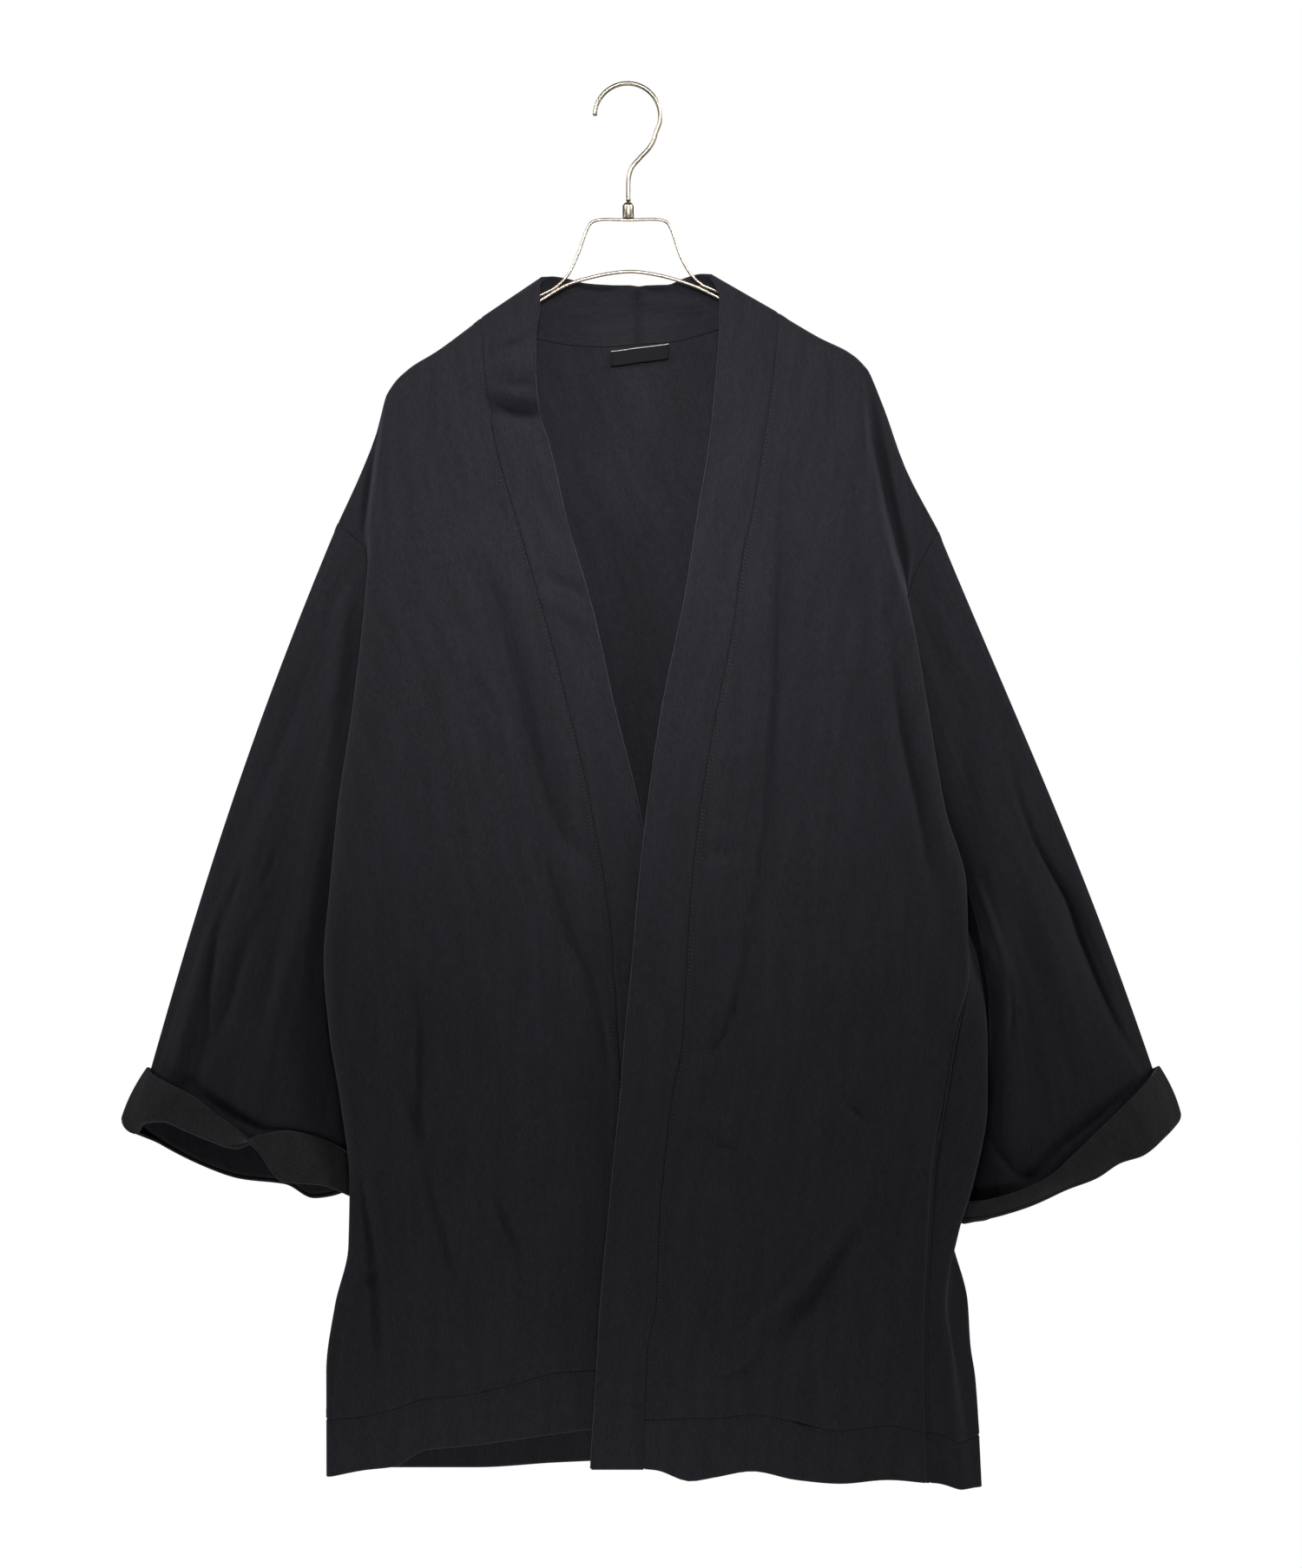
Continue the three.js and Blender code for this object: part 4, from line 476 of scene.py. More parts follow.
RIGHT_CREASES = [
    ("shoulder pull", 12, -1.6, [(-165, -280), (-151, -331), (-129, -377)]),
    ("seam trough floor", 4, -2.2,
     [(-109, -406), (-100, -424), (-93, -449), (-83, -500), (-72, -543), (-61, -579), (-47, -607)]),
    ("seam trough lip", 4, 1.2, [(-68, -550), (-56, -575), (-41, -600), (-29, -625)]),
    ("overlap trough floor", 3.5, -1.8, [(-72, -604), (-61, -636), (-50, -665), (-38, -697)]),
    ("overlap trough end", 3.5, -1.6, [(-45, -687), (-31, -714), (-23, -747), (-14, -793)]),
    ("chest crease", 5, -1.4, [(-144, -410), (-131, -449), (-122, -478), (-104, -507), (-90, -525)]),
    ("chest crease lip", 5, 1.3, [(-129, -446), (-115, -478), (-97, -507), (-79, -539)]),
    ("side sag", 14, -1.6, [(-180, -428), (-190, -485), (-197, -539), (-205, -611)]),
    ("side swell", 12, 1.4, [(-158, -413), (-162, -467), (-171, -521), (-165, -593)]),
    ("pocket trough", 5, -2, [(-168, -729), (-167, -763), (-167, -787), (-166, -808), (-167, -845)]),
    ("pocket pinch", 9, -2.6, [(-183, -808), (-175, -823), (-168, -842)]),
    ("left low trough", 5, -1.7, [(-163, -881), (-151, -917), (-143, -945), (-137, -969)]),
    ("middle low trough", 6, -1.8, [(-117, -884), (-105, -899), (-96, -923), (-83, -954)]),
    ("middle low ridge", 6, 1.4, [(-126, -899), (-117, -923), (-105, -948)]),
    ("thigh crease", 4, -1.2, [(-90, -857), (-78, -832), (-60, -820), (-39, -817)]),
    ("thigh crease lip", 4, 1.1, [(-114, -881), (-90, -881), (-66, -875), (-35, -866)]),
    ("hem pucker", 4, -1.5, [(-166, -1016), (-154, -1019), (-142, -1031)]),
    ("second hem pucker", 4, -1.3, [(-114, -1054), (-111, -1045), (-96, -1040)]),
    ("side seam groove", 3, -1.6,
     [(-214, -875), (-211, -905), (-207, -929), (-205, -960), (-204, -990), (-202, -1014)]),
    ("side dimple", 6, -1.6, [(-214, -964), (-202, -954)]),
    ("band crease", 4.5, -1.8, [(-63, -397), (-36, -413)]),
    ("band crease lip", 5, 1.3, [(-68, -413), (-32, -436)]),
    ("band twist", 8, -1.6, [(-83, -313), (-68, -342), (-50, -367)]),
    ("tuck lip", 6.5, 3.2, [(-105, -249), (-92, -253), (-72, -256)]),
    ("tuck floor", 4.5, -3.2, [(-104, -262), (-90, -266), (-70, -269)]),
    ("band top crease", 5, -1.5, [(-108, -221), (-93, -212), (-77, -204)]),
    ("armhole groove", 4.5, -5, [(-200, -256), (-205, -290), (-211, -340), (-214, -376)]),
]
LEFT_CREASES = [
    ("seam trough floor", 4, -2.4,
     [(125, -313), (123, -359), (120, -413), (118, -457), (116, -503), (114, -557), (108, -611),
      (99, -665)]),
    ("side trough floor", 5, -1.8,
     [(205, -428), (213, -485), (220, -528), (231, -575), (238, -615), (245, -640)]),
    ("chest sag", 14, -1.6, [(173, -363), (177, -413), (184, -449)]),
    ("chest ridge", 9, 1.6, [(202, -449), (204, -496), (213, -557), (220, -611)]),
    ("middle swell", 12, 1.5, [(148, -363), (150, -413), (148, -467), (148, -521)]),
    ("strip dimple", 6, -1.4, [(58, -622), (90, -616)]),
    ("strip crease", 3.5, 1, [(71, -543), (105, -539)]),
    ("strip lip", 3, 1.1, [(65, -694), (90, -672)]),
    ("low seam trough", 4, -2, [(94, -687), (90, -723), (82, -754), (68, -775), (50, -778)]),
    ("low seam ridge", 5, 1.9, [(100, -705), (94, -735), (84, -766), (68, -793)]),
    ("knot", 5, 2, [(47, -832), (65, -834), (79, -838)]),
    ("knot shade", 4, -2.2, [(67, -850), (87, -854)]),
    ("knot tail", 4, 1.5, [(59, -848), (68, -863), (77, -872)]),
    ("knot dimple", 6, -1.3, [(41, -878), (62, -882)]),
    ("side pull", 4, -1.5, [(171, -814), (184, -826), (196, -838)]),
    ("hip crest", 5, 2.4,
     [(191, -892), (168, -908), (144, -929), (132, -948), (117, -969), (93, -992), (84, -1011),
      (77, -1028)]),
    ("hip hollow", 6, -2.4,
     [(187, -902), (168, -929), (156, -951), (141, -975), (114, -987), (93, -1002)]),
    ("hip second crest", 6, 1.4, [(193, -920), (175, -945), (159, -978)]),
    ("low dimple", 5, -1.6, [(144, -1039), (126, -1049)]),
    ("foot ridge", 4, 1.3, [(24, -1030), (35, -1051), (44, -1063)]),
    ("foot trough", 5, -1.4, [(77, -1037), (93, -1030), (108, -1017)]),
    ("hem pucker", 3.5, -1.3, [(132, -1072), (150, -1081)]),
    ("armhole groove", 6, -5.5, [(193, -238), (199, -290), (211, -345), (222, -395), (230, -432)]),
    ("band join", 2, -0.7, [(-6, -814), (38, -816)]),
    ("low band join", 2, -0.6, [(-24, -1055), (14, -1057)]),
]
LEFT_SLEEVE_CREASES = [
    ("outer crease", 4, -2.2,
     [(307, -548), (315, -580), (327, -612), (343, -640), (353, -656), (361, -684), (375, -720),
      (391, -756), (411, -788)]),
    ("outer sag", 10, -1.8, [(351, -652), (363, -684), (375, -708), (387, -748)]),
    ("underarm lip", 4, 2, [(278, -640), (288, -668), (296, -692), (300, -712)]),
    ("underarm pinch", 4, -2, [(278, -682), (288, -696), (294, -708)]),
    ("underarm line", 3, -1.6, [(303, -716), (307, -740), (306, -768)]),
    ("inner low hollow", 6, -2.8, [(286, -821), (294, -845), (311, -873), (323, -881)]),
    ("cuff shade", 5, -2, [(323, -879), (347, -853), (375, -829), (399, -806), (417, -792)]),
    ("inner swell", 13, 3, [(296, -640), (299, -700), (301, -760), (303, -820), (305, -880)]),
    ("upper sag", 10, -1.2, [(254, -443), (266, -491), (270, -548), (274, -596)]),
    ("lower swell", 12, 1.6, [(311, -628), (331, -668), (347, -720), (367, -784)]),
]
RIGHT_SLEEVE_CREASES = [
    ("end crest", 5, 2.3, [(-334, -668), (-342, -704), (-350, -740), (-358, -772), (-363, -790)]),
    ("outer end trough", 5, -1.9,
     [(-319, -656), (-330, -684), (-336, -724), (-338, -764), (-346, -802)]),
    ("inner end trough", 6, -2.1, [(-299, -676), (-311, -708), (-321, -744), (-334, -780)]),
    ("middle crest", 7, 1.7, [(-267, -672), (-277, -724), (-285, -764), (-291, -804)]),
    ("outer sag", 8, -1.4, [(-255, -455), (-275, -516), (-295, -572), (-319, -628)]),
    ("inner crest", 8, 1.5, [(-227, -415), (-233, -455), (-239, -516), (-243, -564)]),
    ("body-side sag", 6, -1.8, [(-235, -584), (-243, -644), (-251, -704), (-249, -744)]),
    ("cuff shade", 5, -2.2,
     [(-352, -802), (-330, -819), (-315, -829), (-295, -839), (-271, -841), (-253, -845)]),
    ("short crease", 3, -1.1, [(-311, -636), (-319, -656)]),
    ("second short crease", 3, -1.1, [(-283, -616), (-295, -648)]),
]
NECK_CREASES = [
    ("rim shade", 3.5, -1.6,
     [(-68, -175), (-53, -167), (-37, -164), (-21, -166), (-5, -162), (13, -163), (31, -167), (49, -166),
      (65, -175), (72, -183)]),
    ("rim roll", 4, 1.6,
     [(-69, -182), (-53, -174), (-40, -168), (-29, -168), (-21, -171), (-12, -168), (-1, -164),
      (11, -167), (22, -172), (29, -171), (36, -168), (49, -171), (63, -180), (72, -187)]),
]
BACK_CREASES = [
    ("right shoulder pull", 12, -1.8, [(-150, -262), (-140, -330), (-118, -392)]),
    ("left shoulder pull", 13, -1.7, [(158, -250), (150, -318), (126, -380)]),
    ("right blade ridge", 9, 1.6, [(-96, -330), (-104, -430), (-122, -540), (-126, -640)]),
    ("left blade ridge", 8, 1.5, [(104, -352), (118, -446), (129, -560), (146, -655)]),
    ("right floor", 5, -1.9, [(-76, -420), (-85, -520), (-90, -640), (-99, -790)]),
    ("left floor", 5, -2.0, [(88, -470), (97, -560), (103, -690), (112, -820)]),
    ("middle sag", 15, -1.5, [(-22, -480), (-30, -600), (-24, -740)]),
    ("waist crease", 4, -1.3, [(-58, -640), (-20, -655), (24, -650)]),
    ("waist lip", 4, 1.2, [(-52, -652), (-16, -668), (30, -662)]),
    ("right seat crest", 6, 1.8, [(-160, -800), (-132, -868), (-118, -950), (-121, -1030)]),
    ("left seat crest", 6, 1.9, [(196, -780), (170, -850), (158, -930), (160, -1020)]),
    ("left seat hollow", 7, -1.8, [(178, -770), (150, -842), (138, -920), (140, -1000)]),
    ("low dimple", 6, -1.4, [(20, -960), (58, -985)]),
    ("hem pucker", 4, -1.3, [(-60, -1040), (-44, -1062)]),
    ("second hem pucker", 4, -1.2, [(98, -1048), (112, -1070)]),
]

# How far a sleeve bows at its outer and its inner edge and where along it, how much less the inner
# edge bows behind, and how far the sleeve's middle bellies out
RIGHT_SLEEVE = dict(outer=9.5, low=0.9, inner=14, skew=0.5, tuck=0.2, belly=4)
LEFT_SLEEVE = dict(outer=6.5, low=1.3, inner=28, skew=0.62, tuck=0.5, belly=4)


def lift_of(folds, x, z):
    """How far a set of folds lifts the cloth at (x, z)."""
    lift = np.zeros(np.broadcast(x, z).shape)
    for _, width, height, path in folds:
        nearest = np.full(lift.shape, 1e9)
        along_path = np.zeros(lift.shape)
        pieces = len(path) - 1
        for n, ((ax, az), (bx, bz)) in enumerate(zip(path[:-1], path[1:])):
            share = ((x - ax) * (bx - ax) + (z - az) * (bz - az)) / ((bx - ax) ** 2 + (bz - az) ** 2)
            share = np.clip(share, 0, 1)
            distance = np.hypot(x - mix(ax, bx, share), z - mix(az, bz, share))
            near = distance < nearest
            nearest = np.where(near, distance, nearest)
            along_path = np.where(near, (n + share) / pieces, along_path)
        across = smooth(1 - nearest / (FOLD_REACH * width))
        lift += height * across * mix(FOLD_END, 1, np.sin(np.pi * along_path))
    return lift


def deeper(creases):
    """Fine creases at their full depth."""
    return [(name, width, lift * CREASE_DEPTH, path) for name, width, lift, path in creases]


def pocket(z):
    """How far a pocket slit stands open at a height."""
    share = (SLIT_TOP - z) / (SLIT_TOP - SLIT_BOTTOM)
    return SLIT_GAP * np.sin(np.pi * np.clip(share, 0, 1)) ** 0.6


def stack(x, y, z):
    return np.stack(np.broadcast_arrays(x, y, z), -1)


class Front:
    """A front panel: points by their share of its width, from the band's seam, and their height."""

    def __init__(self, levels, shoulder, hem, folds, side):
        self.levels, self.shoulder, self.hem_rows = levels, shoulder, hem
        self.folds, self.side = folds, side

    def section(self, share, z):
        row = self.levels(z)
        inner = row["crest_x"] - self.side * row["round"] * CREST_SPREAD
        xs = [row["seam_x"], inner, row["crest_x"], row["side_x"]]
        ys = [row["seam_y"], row["crest_y"], row["crest_y"] + row["round"], row["side_y"]]
        return along(FRONT_POINTS, xs, share), along(FRONT_POINTS, ys, share)

    def top(self, share):
        return self.shoulder(share)["z"]

    def point(self, share, z):
        share, z = np.broadcast_arrays(np.asarray(share, float), np.asarray(z, float))
        top = self.shoulder(share)
        x, y = self.section(share, z)
        start_x, start_y = self.section(share, top["z"])
        drop = np.maximum(0, top["z"] - z)
        x = x + (top["x"] - start_x) * (1 - smooth(drop / SHOULDER_EASE))
        settle = 1 - np.exp(-drop / SHOULDER_SPREAD)
        slit = pocket(z) * smooth((share - FRONT_CREST) / (1 - FRONT_CREST))
        loose = settle * smooth((1 - share) / SIDE_HOLD - SIDE_STILL)
        lift = loose * lift_of(self.folds, x, z)
        return stack(x - self.side * SLIT_WIDTH * slit, y - start_y * (1 - settle) - lift - slit, z)

    def hem(self, share):
        x, _ = self.section(share, np.full(np.shape(share), float(HEM_HEIGHT)))
        return self.hem_rows(x)


class Back:
    """The back panel, from the right side edge round to the left one."""

    def section(self, share, z):
        in_right, in_left = BACK_RIGHT(z), BACK_LEFT(z)
        upper = z >= UNDERARM
        right, left = RIGHT_BACK_ARMHOLE(z), LEFT_BACK_ARMHOLE(z)
        right_x, right_y = FRONT_RIGHT.section(np.ones(z.shape), z)
        left_x, left_y = FRONT_LEFT.section(np.ones(z.shape), z)
        middle = (in_right["flat_x"] + in_left["flat_x"]) / 2
        flat = in_right["flat_y"]
        xs = [np.where(upper, right["x"], right_x), in_right["turn_x"], in_right["flat_x"], middle,
              in_left["flat_x"], in_left["turn_x"], in_left["valley_x"], in_left["crest_x"],
              np.where(upper, left["x"], left_x)]
        ys = [np.where(upper, right["y"], right_y), in_right["turn_y"], flat, flat, flat,
              in_left["turn_y"], in_left["valley_y"], in_left["crest_y"],
              np.where(upper, left["y"], left_y)]
        return along(BACK_POINTS, xs, share), along(BACK_POINTS, ys, share)

    def start(self, share):
        right = RIGHT_SHOULDER(1 - share / NECK_START)
        left = LEFT_SHOULDER((share - NECK_END) / (1 - NECK_END))
        neck = NECK_SEAM((share - NECK_START) / (NECK_END - NECK_START))
        pick = lambda name: np.where(share <= NECK_START, right[name],
                                     np.where(share >= NECK_END, left[name], neck[name]))
        on_neck = (share > NECK_START) & (share < NECK_END)
        return pick("x"), np.where(on_neck, neck["y"], 0), pick("z")

    def top(self, share):
        return self.start(np.asarray(share, float))[2]

    def point(self, share, z):
        share, z = np.broadcast_arrays(np.asarray(share, float), np.asarray(z, float))
        start_x, start_y, start_z = self.start(share)
        x, y = self.section(share, z)
        from_x, from_y = self.section(share, start_z)
        drop = np.maximum(0, start_z - z)
        x = x + (start_x - from_x) * (1 - smooth(drop / SHOULDER_EASE))
        on_neck = smooth((share - NECK_START) / NECK_BLEND) * smooth((NECK_END - share) / NECK_BLEND)
        settle = 1 - np.exp(-drop / mix(SHOULDER_SPREAD, NECK_SPREAD, on_neck))
        inner = smooth(share / SIDE_HOLD) * smooth((1 - share) / SIDE_HOLD) * smooth(drop / BACK_HOLD)
        lift = inner * lift_of(BACK_FOLDS + deeper(BACK_CREASES), x, z)
        return stack(x, y + (start_y - from_y) * (1 - settle) + lift, z)

    def hem(self, share):
        share = np.asarray(share, float)
        x, _ = self.section(share, np.full(share.shape, float(HEM_HEIGHT)))
        own, right, left = BACK_HEM(x), FRONT_RIGHT.hem(np.ones(1)), FRONT_LEFT.hem(np.ones(1))
        to_right = 1 - smooth(share / RIGHT_HEM_BLEND)
        to_left = 1 - smooth((1 - share) / LEFT_HEM_BLEND)
        return {name: mix(mix(own[name], right[name], to_right), left[name], to_left) for name in own}


FRONT_RIGHT = Front(RIGHT_FRONT, RIGHT_SHOULDER, RIGHT_HEM, RIGHT_FOLDS + deeper(RIGHT_CREASES), -1)
FRONT_LEFT = Front(LEFT_FRONT, LEFT_SHOULDER, LEFT_HEM, LEFT_FOLDS + deeper(LEFT_CREASES), 1)
BACK = Back()


def heights(panel, across):
    """The heights of a panel's rows, one column for each share."""
    top = panel.top(across)[None]
    seam = panel.hem(across)["seam"][None]
    return np.concatenate([mix(top, UNDERARM, UPPER[:, None]), mix(UNDERARM, seam, LOWER[:, None])])


def panel_grid(panel, across):
    z = heights(panel, across)
    return panel.point(np.broadcast_to(across, z.shape), z)


def hem_grid(panel, across):
    row = panel.hem(across)
    z = mix(row["seam"][None], row["bottom"][None], HEM[:, None])
    return panel.point(np.broadcast_to(across, z.shape), z)


def sleeve_grid(front, back_share, end, folds, side, bow):
    """Rings from the armhole down to the sleeve's end, once round from the outer fold over the front."""
    top = front.top(np.ones(1))
    levels = mix(top, UNDERARM, UPPER)
    behind = levels[::-1][1:-1]
    around = np.concatenate([UPPER, 2 - UPPER[::-1][1:-1]])
    armhole = np.concatenate([front.point(np.ones(levels.shape), levels),
                              BACK.point(np.full(behind.shape, float(back_share)), behind)])
    row = SLEEVE[:, None]
    target = end(around)
    goal = stack(target["x"], target["y"], target["z"])
    place = mix(armhole[None], goal[None], row[..., None])
    share = np.where(around <= 1, around, 2 - around)[None]
    facing = np.where(around <= 1, -1, 1)[None]
    outer = bow["outer"] * np.sin(np.pi * row ** bow["low"]) * (1 - share) ** 2
    tucked = np.where(facing > 0, 1 - bow["tuck"] * smooth((1 - share) / SLEEVE_HOLD), 1)
    inner = bow["inner"] * np.sin(np.pi * row ** bow["skew"]) * share ** 2 * tucked
    place[..., 0] += side * (outer + inner)
    belly = bow["belly"] * np.sin(np.pi * row) * np.sin(np.pi * share)
    at_edges = smooth(share / SLEEVE_HOLD) * smooth((1 - share) / SLEEVE_HOLD)
    loose = smooth(row / SLEEVE_START) * at_edges
    x, z = place[..., 0], place[..., 2]
    behind_lift = BEHIND_LIFT * lift_of(folds, x - BEHIND_SHIFT * side, z)
    lift = np.where(facing < 0, lift_of(folds, x, z), behind_lift)
    place[..., 1] += facing * (belly + loose * lift)
    return place, around


def cuff_grid(sleeve, around, end):
    """The turned-up cuff: out and round from the sleeve's end, then up to its free edge."""
    last = sleeve[-1]
    before, after = np.roll(last, 1, 0), np.roll(last, -1, 0)
    outward = np.stack([before[:, 1] - after[:, 1], after[:, 0] - before[:, 0]], -1)
    outward /= np.maximum(1e-9, np.linalg.norm(outward, axis=1))[:, None]
    area = np.sum(last[:, 0] * after[:, 1] - after[:, 0] * last[:, 1])
    target = end(around)
    root = last.copy()
    root[:, :2] -= outward * target["out"][:, None] * (1 if area > 0 else -1)
    free = stack(target["edge_x"], target["edge_y"], target["edge_z"])
    row = CUFF_ROWS[:, None, None]
    grid = mix(root[None], free[None], row)
    rise = np.linalg.norm(free - root, axis=1)[None]
    belly = CUFF_BELLY * np.sin(np.pi * CUFF_ROWS[:, None]) ** 0.8 * smooth(rise / CUFF_RISE)
    out = root - last
    out /= np.maximum(1e-9, np.linalg.norm(out, axis=1))[:, None]
    turn = np.linspace(0, np.pi / 2, FOLD_ROWS, endpoint=False)[:, None, None]
    reach = np.linalg.norm(root - last, axis=1)[None, :, None]
    below = np.cos(turn) * FOLD_DROP * reach * [0, 0, 1]
    under = last[None] + np.sin(turn) * (root - last)[None] - below
    return np.concatenate([under, grid + belly[..., None] * out[None]])


def band_grid(front, free, neck_shares, rim_end):
    """The band of one half: from the centre back over the shoulder and down the front."""
    seam = BACK.point(neck_shares, BACK.top(neck_shares))
    rim = NECK_RIM((neck_shares - NECK_START) / (NECK_END - NECK_START))
    neck = mix(seam[:, None], stack(rim["x"], rim["y"], rim["z"])[:, None], BAND_ACROSS[None, :, None])
    neck[:, 1:, 1] -= lift_of(deeper(NECK_CREASES), neck[:, 1:, 0], neck[:, 1:, 2])
    row = front.hem(np.zeros(1))
    z = np.concatenate([heights(front, np.zeros(1))[1:, 0], mix(row["seam"], row["bottom"], HEM[1:])])
    top = front.top(np.zeros(1))
    edge_z = z + (rim_end - top) * (1 - smooth((top - z) / BAND_EASE))
    edge = free(edge_z)
    seam = front.point(np.zeros(z.shape), z)
    down = mix(seam[:, None], stack(edge["x"], edge["y"], edge_z)[:, None], BAND_ACROSS[None, :, None])
    down[:, 1:, 1] -= lift_of(front.folds, down[:, 1:, 0], down[:, 1:, 2])
    return np.concatenate([neck, down])


class Sheet:
    """A grid of points that becomes a wall of cloth.

    A closed sheet is a tube, and one that is alone shares no normals at its edges. Points marked
    level have normals without a y part. The relief is added to the outer face.
    """

    def __init__(self, name, grid, wall, closed=False, flip=False, alone=False):
        self.name, self.grid, self.wall = name, grid, wall
        self.closed, self.flip, self.alone = closed, flip, alone
        self.level = np.zeros(grid.shape[:2], bool)
        self.relief = np.zeros(grid.shape[:2])
        self.shape = grid.shape[:2]

    def cells(self):
        """Corner indices of every cell."""
        rows, columns = self.shape
        last = columns if self.closed else columns - 1
        row, column = np.meshgrid(np.arange(rows - 1), np.arange(last), indexing="ij")
        after = (column + 1) % columns
        corners = [row * columns + column, (row + 1) * columns + column, (row + 1) * columns + after,
                   row * columns + after]
        quads = np.stack([c.ravel() for c in corners], -1)
        return quads[:, ::-1] if self.flip else quads

    def point_sums(self):
        """The sum of the cells' normals at each point."""
        p = self.grid.reshape(-1, 3)
        quads = self.cells()
        a, b, c, d = (p[quads[:, n]] for n in range(4))
        normal = np.cross(c - a, d - b)
        normal /= np.maximum(1e-12, np.linalg.norm(normal, axis=1))[:, None]
        sums = np.zeros(p.shape)
        for n in range(4):
            np.add.at(sums, quads[:, n], normal)
        return sums


def share_normals(sheets):
    """Gives each sheet its normals, shared where sheets meet, and marks the points on seams."""
    together = [sheet for sheet in sheets if not sheet.alone]
    points = np.concatenate([sheet.grid.reshape(-1, 3) for sheet in together])
    owner = np.concatenate([np.full(sheet.grid.shape[0] * sheet.grid.shape[1], n)
                            for n, sheet in enumerate(together)])
    sums = np.concatenate([sheet.point_sums() for sheet in together])
    _, place = np.unique(np.round(points / MEET).astype(np.int64), axis=0, return_inverse=True)
    place = place.ravel()
    shared = np.zeros((place.max() + 1, 3))
    np.add.at(shared, place, sums)
    pairs = np.unique(np.stack([place, owner], -1), axis=0)
    owners = np.bincount(pairs[:, 0], minlength=len(shared))
    at = 0
    for sheet in together:
        count = sheet.grid.shape[0] * sheet.grid.shape[1]
        here = place[at:at + count]
        sheet.normals = shared[here].reshape(sheet.grid.shape)
        sheet.seamed = (owners[here] > 1).reshape(sheet.shape)
        at += count
    for sheet in sheets:
        if sheet.alone:
            sheet.normals = sheet.point_sums().reshape(sheet.grid.shape)
            sheet.seamed = np.zeros(sheet.shape, bool)
        sheet.normals[sheet.level, 1] = 0
        size = np.linalg.norm(sheet.normals, axis=-1, keepdims=True)
        sheet.normals = sheet.normals / np.maximum(1e-12, size)


def make_mesh(name, points, faces, uv=None):
    """A mesh object in metres from points in millimetres."""
    mesh = bpy.data.meshes.new(name)
    mesh.from_pydata((np.asarray(points) * MM).tolist(), [], [list(map(int, face)) for face in faces])
    mesh.update()
    if uv is not None:
        layer = mesh.uv_layers.new(name="cloth")
        loops = np.zeros(len(mesh.loops), int)
        mesh.loops.foreach_get("vertex_index", loops)
        layer.data.foreach_set("uv", (np.asarray(uv)[loops] * MM).ravel())
    mesh.polygons.foreach_set("use_smooth", [True] * len(mesh.polygons))
    piece = bpy.data.objects.new(name, mesh)
    bpy.context.scene.collection.objects.link(piece)
    return piece


def make_wall(sheet):
    """A closed wall of cloth with rounded free edges."""
    rows, columns = sheet.shape
    p, n = sheet.grid, sheet.normals
    half = sheet.wall / 2
    outer = p + n * (half + sheet.relief)[..., None]
    inner = p - n * half
    quads = sheet.cells()
    under = rows * columns
    points = [outer.reshape(-1, 3), inner.reshape(-1, 3)]
    faces = [quads, quads[:, ::-1] + under]
    count = 2 * under
    index = np.arange(under).reshape(rows, columns)
    step = np.linalg.norm(np.diff(p, axis=1, append=p[:, -1:]), axis=-1)
    across = np.cumsum(step, axis=1) - step
    fall = np.linalg.norm(np.diff(p, axis=0, append=p[-1:]), axis=-1)
    down = np.cumsum(fall, axis=0) - fall
    uv = [np.stack([across.ravel(), -down.ravel()], -1)] * 2

    def rim(line, inward, reverse):
        nonlocal count
        edge, inside = p.reshape(-1, 3)[line], p.reshape(-1, 3)[inward]
        way = edge - inside
        way /= np.maximum(1e-9, np.linalg.norm(way, axis=1))[:, None]
        free = np.where(sheet.seamed.ravel()[line], 0, EDGE_ROUND)[:, None]
        middle = edge + way * free * sheet.wall
        points.append(middle)
        uv.append(uv[0][line])
        ids = count + np.arange(len(line))
        count += len(line)
        a, b = np.arange(len(line) - 1), np.arange(1, len(line))
        if sheet.closed and len(line) == columns:
            a, b = np.arange(columns), (np.arange(columns) + 1) % columns
        upper = np.stack([line[a], line[b], ids[b], ids[a]], -1)
        lower = np.stack([ids[a], ids[b], line[b] + under, line[a] + under], -1)
        if reverse ^ sheet.flip:
            upper, lower = upper[:, ::-1], lower[:, ::-1]
        faces.extend([upper, lower])

    rim(index[0], index[1], False)
    rim(index[-1], index[-2], True)
    if not sheet.closed:
        rim(index[:, 0], index[:, 1], True)
        rim(index[:, -1], index[:, -2], False)
    sheet.outer = outer
    return make_mesh(sheet.name, np.concatenate(points), np.concatenate(faces), np.concatenate(uv))


def ring_faces(rows, sides):
    """Faces round rings of points, closed by a flat face at each end."""
    faces = [(row * sides + n, row * sides + (n + 1) % sides, (row + 1) * sides + (n + 1) % sides,
              (row + 1) * sides + n) for row in range(rows - 1) for n in range(sides)]
    return faces + [tuple(range(sides))[::-1], tuple((rows - 1) * sides + n for n in range(sides))]


